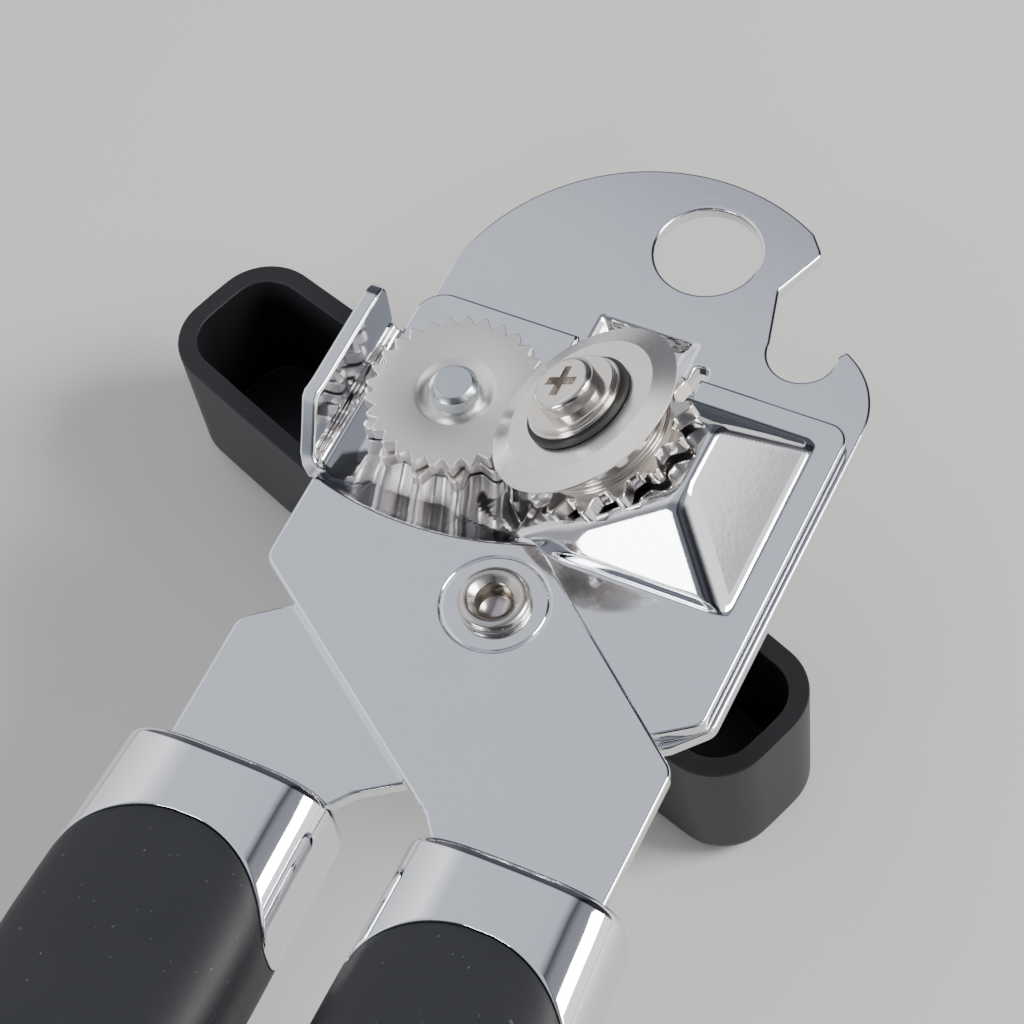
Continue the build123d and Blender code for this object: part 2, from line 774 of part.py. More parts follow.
# ------------------------------------------------------------------ handles
stations = [
    (handle_top, handle_wide, handle_thick),
    (handle_shoulder_y, handle_shoulder, handle_thick),
    ((handle_shoulder_y + handle_waist_y) / 2, (handle_shoulder + handle_waist) / 2, handle_thick - 0.4),
    (handle_waist_y, handle_waist, handle_thick - 0.6),
    ((handle_waist_y + handle_swell_y) / 2, (handle_waist + handle_swell) / 2, handle_thick),
    (handle_swell_y, handle_swell, handle_thick + 0.6),
]
for step in range(end_steps + 1):
    turn = radians(90 * step / (end_steps + 0.4))
    stations.append(
        (
            handle_end + end_blend * (1 - sin(turn)),
            (handle_swell - 0.8) * (1 - end_narrow * (1 - cos(turn))),
            handle_thick * (1 - end_thin * (1 - cos(turn))),
        )
    )


def handle_form(side, shrink, first_y, last_y):
    """The outside of a handle, or of what lies a depth of shrink inside it."""
    with BuildPart(mode=Mode.PRIVATE) as form:
        sections = []
        for y, wide, thick in stations:
            plane = Plane(
                origin=(pivot_x + handle_mid(side, y), y - hole_to_pivot, handle_z),
                x_dir=(1, 0, 0),
                z_dir=(0, 1, 0),
            )
            corner = min(handle_corner - 0.7 * shrink, 0.42 * (thick - 2 * shrink))
            with BuildSketch(plane) as section:
                RectangleRounded(wide - 2 * shrink, thick - 2 * shrink, corner)
            sections.append(section.sketch)
        loft(sections, ruled=True)
        for y, keep in ((first_y, Keep.BOTTOM), (last_y, Keep.TOP)):
            split(bisect_by=Plane(origin=(0, y - hole_to_pivot, 0), z_dir=(0, 1, 0)), keep=keep)
    return form.part


def arch_cutter(side, widen):
    """The tongue of the grip, as a block that passes through the handle from front to back."""
    with BuildPart(mode=Mode.PRIVATE) as arch:
        with BuildSketch(level(-handle_thick)):
            arch_y = handle_top - collar_side
            with Locations((handle_mid(side, arch_y), arch_y)):
                Ellipse(arch_half + widen, collar_side - collar_front + widen)
        extrude(amount=3 * handle_thick)
    return arch.part


pieces = {}
for side, word, tang_z in ((-1, "left", 0), (1, "right", feed_mid_z)):
    outside = handle_form(side, 0, handle_top, handle_end)
    inner = handle_form(side, grip_wall, tang_step, core_end)
    collar_bed = handle_form(side, collar_wall, handle_top - collar_wall, handle_top - collar_side)
    with BuildPart(mode=Mode.PRIVATE) as tang:
        with BuildSketch(level(tang_z)):
            with Locations((side * (neck_in + frame_half) / 2, (handle_top + tang_step) / 2 + 5)):
                Rectangle(frame_half - neck_in, handle_top - tang_step + 10)
            with Locations((handle_mid(side, tang_y), tang_y)):
                Rectangle(tang_wide, tang_step - tang_end)
        extrude(amount=sheet)
    with BuildPart(mode=Mode.PRIVATE) as pins:
        with BuildSketch(level(handle_z - handle_thick / 2 + grip_wall + 0.6)):
            with Locations(*[(handle_mid(side, y), y) for y in pin_ys]):
                Circle(pin_r)
        extrude(amount=handle_thick - 2 * grip_wall - 1.2)

    with BuildPart() as collar:
        add(outside)
        split(
            bisect_by=Plane(origin=(0, handle_top - collar_side - hole_to_pivot, 0), z_dir=(0, 1, 0)),
            keep=Keep.TOP,
        )
        add(arch_cutter(side, 0), mode=Mode.SUBTRACT)
        add(collar_bed, mode=Mode.SUBTRACT)
        add(tang.part, mode=Mode.SUBTRACT)
    pieces[word + "_collar"] = collar

    with BuildPart() as core:
        add(inner)
        add(tang.part, mode=Mode.SUBTRACT)
        add(pins.part, mode=Mode.SUBTRACT)
    pieces[word + "_handle_core"] = core

    with BuildPart() as grip:
        add(outside)
        add(collar.part, mode=Mode.SUBTRACT)
        add(inner, mode=Mode.SUBTRACT)
        add(tang.part, mode=Mode.SUBTRACT)
        split(
            bisect_by=Plane(origin=(0, tang_step - hole_to_pivot, 0), z_dir=(0, 1, 0)),
            keep=Keep.BOTTOM,
        )
    pieces[word + "_grip"] = grip

    with BuildPart() as pin_pair:
        add(pins.part)
    pieces[word + "_handle_pins"] = pin_pair

# ------------------------------------------------------------------ write every piece
pieces.update(washers)
pieces.update(
    opener_plate=opener_plate,
    cutter_plate=cutter_plate,
    feed_plate=feed_plate,
    pivot_rivet=pivot_rivet,
    pivot_washer=pivot_washer_part,
    feed_wheel=feed_wheel,
    feed_gear=feed_gear,
    drive_shaft=drive_shaft,
    shaft_bushing=shaft_bushing,
    thrust_washer=thrust_washer,
    knob=knob,
    knob_screw=knob_screw,
    cutter_wheel=cutter_wheel,
    cutter_drum=cutter_drum,
    cutter_gear=cutter_gear,
    cutter_screw=cutter_screw,
    cutter_nut=cutter_nut,
)
for name, piece in pieces.items():
    piece.part.label = name
    export_step(piece.part, f"parts/{name}.step")
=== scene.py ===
"""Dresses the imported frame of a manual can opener.

Plates, rivet, feed train, tilted cutter, handles and knob each have a class that builds
their meshes around the frame's bodies and gives them their finish. Metres, +Z up.
"""

import json
import logging
import math
from abc import ABC, abstractmethod
from dataclasses import dataclass, field
from enum import Enum
from typing import Any, Callable, Sequence

import bmesh
import bpy
from mathutils import Matrix, Vector, geometry


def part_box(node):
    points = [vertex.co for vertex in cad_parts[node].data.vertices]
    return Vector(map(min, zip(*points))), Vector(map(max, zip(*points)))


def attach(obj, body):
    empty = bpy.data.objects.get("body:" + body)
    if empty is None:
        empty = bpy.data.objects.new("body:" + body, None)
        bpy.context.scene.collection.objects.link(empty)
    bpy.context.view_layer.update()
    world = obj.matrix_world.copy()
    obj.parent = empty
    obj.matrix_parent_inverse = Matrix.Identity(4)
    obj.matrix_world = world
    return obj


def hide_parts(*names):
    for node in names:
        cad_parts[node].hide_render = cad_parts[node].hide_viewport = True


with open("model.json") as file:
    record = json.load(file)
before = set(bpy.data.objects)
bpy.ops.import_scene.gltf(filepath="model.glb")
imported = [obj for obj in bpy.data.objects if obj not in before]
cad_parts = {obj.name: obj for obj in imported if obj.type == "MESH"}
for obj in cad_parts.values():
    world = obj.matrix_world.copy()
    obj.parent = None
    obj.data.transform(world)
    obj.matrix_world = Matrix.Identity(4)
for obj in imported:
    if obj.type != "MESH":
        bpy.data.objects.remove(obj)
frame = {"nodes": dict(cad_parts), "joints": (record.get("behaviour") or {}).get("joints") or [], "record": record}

MM = 0.001
Colour = tuple[float, float, float]
Plan = tuple[float, float]
Form = Callable[[float, float], Vector]

JOIN_GAP = 0.002 * MM  # corners of loose triangles this close are one corner
FLAT_TURN = math.radians(0.6)  # faces that meet at less than this are one face
SHARP_TURN = math.radians(32.0)  # edges that turn by more than this get rounded
ROUND_STEPS = 3
LEVEL_COSINE = 0.999  # how level a face must be to count as flat
LEVEL_GAP = 0.02 * MM  # how far from its height a flat face may be
PLAN_DIGITS = 6  # outlines are matched to a thousandth of a millimetre
FLAT_CORNERS = 4  # a pressed flat leaves a loop with this many corners, a cut line has more
MITRE_LIMIT = 1.6  # keeps the inward step at a sharp corner from running away
EDGE_TURN = (0.002, 0.08)  # where edge wear starts and is full, as 1 - cosine

log = logging.getLogger("can_opener")


# ---------------------------------------------------------------- shader arithmetic
class Value:
    """A shader socket that takes part in ordinary arithmetic."""

    def __init__(self, bench: "NodeBench", socket: bpy.types.NodeSocket | None) -> None:
        """Wraps a socket of a bench's tree, or nothing after an output node."""
        self.bench = bench
        self.socket = socket

    def _math(self, operation: str, left: Any, right: Any) -> "Value":
        """Adds one Math node.

        Args:
            operation: The Math node's operation.
            left: First operand, a Value or a number.
            right: Second operand, a Value or a number.

        Returns:
            The node's result.
        """
        return self.bench.node("ShaderNodeMath", {"operation": operation}, {0: left, 1: right})

    def __add__(self, other: Any) -> "Value":
        """Sum."""
        return self._math("ADD", self, other)

    def __radd__(self, other: Any) -> "Value":
        """Reflected sum."""
        return self._math("ADD", other, self)

    def __sub__(self, other: Any) -> "Value":
        """Difference."""
        return self._math("SUBTRACT", self, other)

    def __rsub__(self, other: Any) -> "Value":
        """Reflected difference."""
        return self._math("SUBTRACT", other, self)

    def __mul__(self, other: Any) -> "Value":
        """Product."""
        return self._math("MULTIPLY", self, other)

    def __rmul__(self, other: Any) -> "Value":
        """Reflected product."""
        return self._math("MULTIPLY", other, self)

    def __truediv__(self, other: Any) -> "Value":
        """Quotient."""
        return self._math("DIVIDE", self, other)

    def __rtruediv__(self, other: Any) -> "Value":
        """Reflected quotient."""
        return self._math("DIVIDE", other, self)


class NodeBench:
    """A node tree under construction, whose nodes all come from one method."""

    def __init__(self, tree: bpy.types.NodeTree) -> None:
        """Starts work on a tree."""
        self.tree = tree

    def node(
        self,
        kind: str,
        settings: dict[str, Any] | None = None,
        inputs: dict[Any, Any] | None = None,
        output: Any = 0,
    ) -> Value:
        """Adds any node.

        Args:
            kind: The node's type name.
            settings: The node's own properties, and "stops" for a colour ramp.
            inputs: Values or links of its sockets.
            output: Which output socket to hand back.

        Returns:
            The chosen output, empty if the node has none.
        """
        made = self.tree.nodes.new(kind)
        for key, setting in (settings or {}).items():
            if key == "stops":
                ramp = made.color_ramp
                while len(ramp.elements) < len(setting):
                    ramp.elements.new(1.0)
                for element, (position, colour) in zip(ramp.elements, setting):
                    element.position = position
                    element.color = (*colour, 1.0)
            else:
                setattr(made, key, setting)
        for key, given in (inputs or {}).items():
            self.feed(made.inputs[key], given)
        return Value(self, made.outputs[output] if made.outputs else None)

    def feed(self, socket: bpy.types.NodeSocket, given: Any) -> None:
        """Links a Value to a socket, or sets a plain number, vector or opaque colour on it."""
        if isinstance(given, Value):
            self.tree.links.new(given.socket, socket)
        elif socket.type == "RGBA":
            socket.default_value = (*given, 1.0)
        else:
            socket.default_value = given

    def blend(self, share: Any, first: Any, second: Any, mode: str = "MIX") -> Value:
        """Mixes two colours.

        Args:
            share: 0 for the first colour, 1 for the second.
            first: A Value or a plain colour.
            second: A Value or a plain colour.
            mode: The Mix node's blend type.

        Returns:
            The mixed colour.
        """
        settings = {"data_type": "RGBA", "blend_type": mode}
        return self.node("ShaderNodeMix", settings, {0: share, 6: first, 7: second}, output=2)

    def vector_math(self, operation: str, left: Any, right: Any, output: Any = 0) -> Value:
        """Adds one Vector Math node.

        Args:
            operation: The node's operation.
            left: First operand.
            right: Second operand.
            output: Which output socket to hand back.

        Returns:
            The node's result.
        """
        inputs = {0: left, 1: right}
        return self.node("ShaderNodeVectorMath", {"operation": operation}, inputs, output)

    def ramp(self, along: Value, stops: Sequence[tuple[float, Colour]]) -> Value:
        """A colour ramp over a coordinate that runs from -1 to 1.

        Args:
            along: The coordinate.
            stops: Coordinates and colours.

        Returns:
            The colour.
        """
        share = self.node("ShaderNodeMapRange", {}, {"Value": along, "From Min": -1.0})
        spread = [((at + 1) / 2, colour) for at, colour in stops]
        return self.node("ShaderNodeValToRGB", {"stops": spread}, {0: share})


class Recipe(NodeBench):
    """One material's node tree, ending in a Principled shader."""

    def __init__(self, name: str) -> None:
        """Starts an empty material."""
        self.material = bpy.data.materials.new(name)
        self.material.use_nodes = True
        super().__init__(self.material.node_tree)
        self.tree.nodes.clear()

    def surface(self, **inputs: Any) -> None:
        """Adds the shader and its output, with sockets named with underscores for spaces."""
        given = {key.replace("_", " "): value for key, value in inputs.items()}
        shader = self.node("ShaderNodeBsdfPrincipled", {}, given)
        self.node("ShaderNodeOutputMaterial", {}, {"Surface": shader})

    def place(self, stretch: Colour = (1.0, 1.0, 1.0), tilt: Colour = (0.0, 0.0, 0.0)) -> Value:
        """Object coordinates, turned and stretched.

        Args:
            stretch: Scale along each axis.
            tilt: Rotation about each axis, in radians.

        Returns:
            The coordinates.
        """
        plain = self.node("ShaderNodeTexCoord", output="Object")
        return self.node(
            "ShaderNodeMapping", {}, {"Vector": plain, "Rotation": tilt, "Scale": stretch}
        )

    def noise(self, size: float, detail: float = 3.0, where: Value | None = None) -> Value:
        """Soft noise between 0 and 1.

        Args:
            size: Width of one blotch, in metres.
            detail: How many finer layers it has.
            where: Coordinates, plain Object ones if left out.

        Returns:
            The noise.
        """
        spot = where or self.place()
        inputs = {"Vector": spot, "Scale": 1.0 / size, "Detail": detail, "Roughness": 0.6}
        return self.node("ShaderNodeTexNoise", {}, inputs)

    def step(self, value: Value, low: float, high: float) -> Value:
        """A smooth step of value from 0 at low to 1 at high."""
        inputs = {"Value": value, "From Min": low, "From Max": high}
        return self.node("ShaderNodeMapRange", {"interpolation_type": "SMOOTHSTEP"}, inputs)

    def bump(self, height: Value, depth: float, under: Value | None = None) -> Value:
        """A bumped normal.

        Args:
            height: Height from 0 to 1.
            depth: Height of a full step, in metres.
            under: A normal that this bump lies on.

        Returns:
            The normal.
        """
        inputs: dict[str, Any] = {"Height": height, "Distance": depth, "Strength": 1.0}
        if under:
            inputs["Normal"] = under
        return self.node("ShaderNodeBump", {}, inputs)

    def around(self, centre: Vector, axis: Vector) -> Value:
        """Distance of a point from an axis.

        Args:
            centre: Any point on the axis, in metres.
            axis: The axis as a unit vector.

        Returns:
            The distance in metres.
        """
        plain = self.node("ShaderNodeTexCoord", output="Object")
        from_axis = self.vector_math("SUBTRACT", plain, tuple(centre))
        across = self.vector_math("CROSS_PRODUCT", from_axis, tuple(axis))
        return self.node("ShaderNodeVectorMath", {"operation": "LENGTH"}, {0: across}, "Value")

    def edge(self, radius: float) -> Value:
        """A mask that is 1 on the outer edges of a shape and 0 on its flats.

        Args:
            radius: How far from an edge the mask reaches.

        Returns:
            The mask.
        """
        rounded = self.node("ShaderNodeBevel", {"samples": 6}, {"Radius": radius})
        true_normal = self.node("ShaderNodeNewGeometry", output="Normal")
        facing = self.vector_math("DOT_PRODUCT", rounded, true_normal, "Value")
        return self.step(1.0 - facing, *EDGE_TURN)


# ---------------------------------------------------------------- finishes
class Marks(Enum):
    """How a metal surface was worked."""

    POLISHED = "polished"
    SATIN = "satin"
    TURNED = "turned"


CLOUD_SIZE = 9 * MM
HAIR_WIDTH = 0.22 * MM
HAIR_STRETCH = (0.06, 1.0, 1.0)
HAIR_TILT = (0.2, 0.1, 0.5)
HAIR_BAND = (0.66, 0.78)
TURNING_PITCH = 1 / 6500  # spacing of the tool marks on turned metal, in metres
WEAR_RADIUS = 0.5 * MM
MOULD_CLOUD = 14 * MM
DUST_SIZE = 0.7 * MM
DUST_BAND = (0.74, 0.80)
DUST = (0.25, 0.25, 0.26)


@dataclass(frozen=True)
class MetalFinish:
    """A plated, satin or turned metal, with soft clouds, grain and hairline scratches."""

    name: str
    bright: Colour
    dull: Colour
    rough: float
    rough_spread: float
    grain: float
    grain_depth: float
    marks: Marks = Marks.POLISHED
    centre: Vector = field(default_factory=Vector)
    axis: Vector = field(default_factory=lambda: Vector((0, 0, 1)))

    def make(self) -> bpy.types.Material:
        """Builds the material.

        Returns:
            The material.
        """
        recipe = Recipe(self.name)
        cloud = recipe.noise(CLOUD_SIZE, 4.0)
        grain = recipe.noise(self.grain, 2.0)
        rub = recipe.place(HAIR_STRETCH, HAIR_TILT)
        hair = recipe.step(recipe.noise(HAIR_WIDTH, 1.0, rub), *HAIR_BAND)
        if self.marks is Marks.TURNED:
            ring = recipe.around(self.centre, self.axis)
            lines = recipe.node(
                "ShaderNodeTexNoise",
                {"noise_dimensions": "1D"},
                {"W": ring, "Scale": 1.0 / TURNING_PITCH, "Detail": 2.0},
            )
            height = 0.7 * lines + 0.3 * grain
        else:
            height = 0.75 * grain + 0.25 * cloud
        share = 0.6 * cloud + 0.4 * grain
        rough = self.rough + self.rough_spread * share + 0.05 * hair
        recipe.surface(
            Base_Color=recipe.blend(share, self.bright, self.dull),
            Metallic=1.0,
            Roughness=rough,
            Normal=recipe.bump(height, self.grain_depth),
        )
        return recipe.material


@dataclass(frozen=True)
class MouldedFinish:
    """A moulded plastic or soft grip."""

    name: str
    deep: Colour
    worn: Colour
    rough: float
    grain: float
    grain_depth: float
    dust: float

    def make(self) -> bpy.types.Material:
        """Builds the material.

        Returns:
            The material.
        """
        recipe = Recipe(self.name)
        cloud = recipe.noise(MOULD_CLOUD, 3.0)
        grain = recipe.noise(self.grain, 2.0)
        fleck = recipe.step(recipe.noise(DUST_SIZE, 1.0), *DUST_BAND) * self.dust
        share = 0.55 * cloud + 0.25 * grain + 0.6 * recipe.edge(WEAR_RADIUS)
        shade = recipe.blend(share, self.deep, self.worn)
        recipe.surface(
            Base_Color=recipe.blend(fleck, shade, DUST),
            Roughness=self.rough + 0.12 * cloud - 0.05 * grain,
            Specular_IOR_Level=0.42,
            Normal=recipe.bump(grain, self.grain_depth),
        )
        return recipe.material


# ---------------------------------------------------------------- mesh tools
def new_object(name: str, mesh: bpy.types.Mesh) -> bpy.types.Object:
    """Puts a mesh into the scene under a piece's name."""
    made = bpy.data.objects.new(name, mesh)
    bpy.context.scene.collection.objects.link(made)
    return made


def settle(piece: bpy.types.Object) -> None:
    """Turns a piece and its modifiers into one plain mesh.

    Args:
        piece: The piece.
    """
    bpy.context.view_layer.update()
    evaluated = piece.evaluated_get(bpy.context.evaluated_depsgraph_get())
    mesh = bpy.data.meshes.new_from_object(evaluated)
    piece.modifiers.clear()
    piece.data = mesh


def weight_normals(piece: bpy.types.Object) -> None:
    """Shades a piece smooth, with its large faces kept flat.

    Args:
        piece: The piece.
    """
    piece.data.shade_smooth()
    modifier = piece.modifiers.new("flat_faces", "WEIGHTED_NORMAL")
    modifier.weight = 100
    modifier.keep_sharp = False
    settle(piece)


def merged_copy(node: str) -> bmesh.types.BMesh:
    """A frame node's mesh as a working copy, with its loose triangles joined.

    Args:
        node: Name of the frame node.

    Returns:
        The copy, which the caller frees.
    """
    work = bmesh.new()
    work.from_mesh(frame["nodes"][node].data)
    bmesh.ops.remove_doubles(work, verts=work.verts, dist=JOIN_GAP)
    return work


def rounded_copy(node: str, name: str, width: float) -> bpy.types.Object:
    """Copies a frame node and rounds its sharp edges.

    Args:
        node: Name of the frame node.
        name: Name of the new piece.
        width: How far the rounding reaches from an edge.

    Returns:
        The new piece.
    """
    work = merged_copy(node)
    bmesh.ops.dissolve_limit(work, angle_limit=FLAT_TURN, verts=work.verts, edges=work.edges)
    chosen = [
        edge
        for edge in work.edges
        if len(edge.link_faces) == 2 and edge.calc_face_angle(0.0) > SHARP_TURN
    ]
    bmesh.ops.bevel(
        work,
        geom=chosen,
        offset=width,
        segments=ROUND_STEPS,
        profile=0.5,
        affect="EDGES",
        clamp_overlap=True,
        offset_type="OFFSET",
    )
    mesh = bpy.data.meshes.new(name)
    work.to_mesh(mesh)
    work.free()
    piece = new_object(name, mesh)
    weight_normals(piece)
    return piece


def skin(name: str, rings: Sequence[Sequence[Vector]]) -> bpy.types.Object:
    """Joins rings of points into a closed skin with a point at each end.

    Args:
        name: Name of the new piece.
        rings: Rings with the same number of points, in order.

    Returns:
        The new piece, smooth, with its faces outwards.
    """
    work = bmesh.new()
    rows = [[work.verts.new(point) for point in ring] for ring in rings]
    count = len(rings[0])
    for upper, lower in zip(rows, rows[1:]):
        for index in range(count):
            following = (index + 1) % count
            work.faces.new((upper[index], upper[following], lower[following], lower[index]))
    for row in (rows[0], rows[-1]):
        hub = work.verts.new(sum((vert.co for vert in row), Vector()) / count)
        for index in range(count):
            work.faces.new((row[index], row[(index + 1) % count], hub))
    bmesh.ops.recalc_face_normals(work, faces=work.faces)
    mesh = bpy.data.meshes.new(name)
    work.to_mesh(mesh)
    work.free()
    mesh.shade_smooth()
    return new_object(name, mesh)


def seat_matrix(centre: Vector, axis: Vector, across: Vector) -> Matrix:
    """A matrix that stands a turned part on its axis.

    Args:
        centre: Where the part's own origin goes.
        axis: Direction of the part's own +Z.
        across: Direction of the part's own +X.

    Returns:
        The matrix.
    """
    side = axis.cross(across)
    turn = Matrix((across, side, axis)).transposed().to_4x4()
    return Matrix.Translation(centre) @ turn


# ---------------------------------------------------------------- sub-assemblies
@dataclass
class SubAssembly(ABC):
    """A group of pieces that are built and dressed together."""

    pieces: dict[str, bpy.types.Object] = field(default_factory=dict, init=False)

    @abstractmethod
    def build(self) -> None:
        """Makes the pieces."""

    def dress(self, finishes: dict[str, bpy.types.Material]) -> None:
        """Gives each piece the finish of its node's slot, and reports it.

        Args:
            finishes: Materials by slot name.
        """
        for node, piece in self.pieces.items():
            material = finishes[SLOTS[node]]
            piece.data.materials.clear()
            piece.data.materials.append(material)
            log.info("%s: %d faces, %s", piece.name, len(piece.data.polygons), material.name)

    def stand_for(self, piece: bpy.types.Object, node: str) -> None:
        """Makes a piece ride where a frame node rides, in place of it.

        Args:
            piece: The piece.
            node: Name of the frame node.
        """
        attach(piece, body_of(node))
        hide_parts(node)
        self.pieces[node] = piece


def body_of(node: str) -> str:
    """The body that a frame node rides on."""
    bodies = frame["record"]["behaviour"]["bodies"]
    return next(body for body, members in bodies.items() if node in members)


SLOTS = {part["node"]: part["material_slot"] for part in frame["record"]["subparts"]}
JOINTS = {joint["name"]: joint for joint in frame["joints"]}


def plan_loops(node: str, levels: Sequence[float], facing: int) -> list[list[Plan]]:
    """Outlines of the flat faces of a stamped part, seen from above.

    Args:
        node: Name of the frame node.
        levels: Heights of the flat faces, in metres.
        facing: 1 for faces that look up, -1 for faces that look down.

    Returns:
        Closed loops, the outer one first.
    """
    work = merged_copy(node)
    counts: dict[frozenset[Plan], int] = {}
    for face in work.faces:
        flat = face.normal.z * facing > LEVEL_COSINE
        middle = face.calc_center_median().z
        if flat and any(abs(middle - level) < LEVEL_GAP for level in levels):
            for edge in face.edges:
                key = frozenset(
                    (round(v.co.x, PLAN_DIGITS), round(v.co.y, PLAN_DIGITS)) for v in edge.verts
                )
                counts[key] = counts.get(key, 0) + 1
    work.free()
    neighbours: dict[Plan, list[Plan]] = {}
    for key, count in counts.items():
        if count == 1 and len(key) == 2:
            first, second = key
            neighbours.setdefault(first, []).append(second)
            neighbours.setdefault(second, []).append(first)
    loops = []
    while neighbours:
        start = next(iter(neighbours))
        loop, here = [start], start
        while neighbours.get(here):
            following = neighbours[here].pop()
            neighbours[following].remove(here)
            if not neighbours[here]:
                del neighbours[here]
            here = following
            if here == start:
                break
            loop.append(here)
        neighbours = {place: near for place, near in neighbours.items() if near}
        loops.append(loop)
    return sorted(loops, key=lambda points: -abs(loop_area(points)))


def loop_area(points: Sequence[Plan]) -> float:
    """Signed area of a loop, positive if it runs anticlockwise."""
    pairs = zip(points, [*points[1:], points[0]])
    return sum(a[0] * b[1] - b[0] * a[1] for a, b in pairs) / 2


def eased(share: float) -> float:
    """A share from 0 to 1 that starts and ends gently."""
    return share * share * (3 - 2 * share)


def evened(points: Sequence[Plan], spacing: float) -> list[Plan]:
    """A loop with long edges divided.

    Args:
        points: The loop's corners.
        spacing: Longest edge that stays undivided.

    Returns:
        The loop with more points.
    """
    full = []
    for here, there in zip(points, [*points[1:], points[0]]):
        pieces = max(1, math.ceil(math.dist(here, there) / spacing))
        for index in range(pieces):
            share = index / pieces
            full.append(
                (here[0] + (there[0] - here[0]) * share, here[1] + (there[1] - here[1]) * share)
            )
    return full


def inward(points: Sequence[Plan]) -> list[Plan]:
    """For each point of a loop, the step to its left that moves both its edges by one.

    Args:
        points: The loop's corners.

    Returns:
        One step for each corner.
    """
    steps = []
    for index, here in enumerate(points):
        before, after = points[index - 1], points[(index + 1) % len(points)]
        first = Vector((before[1] - here[1], here[0] - before[0])).normalized()
        second = Vector((here[1] - after[1], after[0] - here[0])).normalized()
        both = first + second
        stretch = 2 / max(both.length_squared, MITRE_LIMIT)
        steps.append((both.x * stretch, both.y * stretch))
    return steps


def soft_min(first: float, second: float, blend: float) -> float:
    """The smaller of two heights, rounded where they cross.

    Args:
        first: One height.
        second: The other height.
        blend: How far apart the two may be and still be rounded together.

    Returns:
        The rounded lower height.
    """
    near = max(blend - abs(first - second), 0.0) / blend
    return min(first, second) - near * near * blend / 4


def soft_max(first: float, second: float, blend: float) -> float:
    """The larger of two heights, rounded where they cross."""
    return -soft_min(-first, -second, blend)


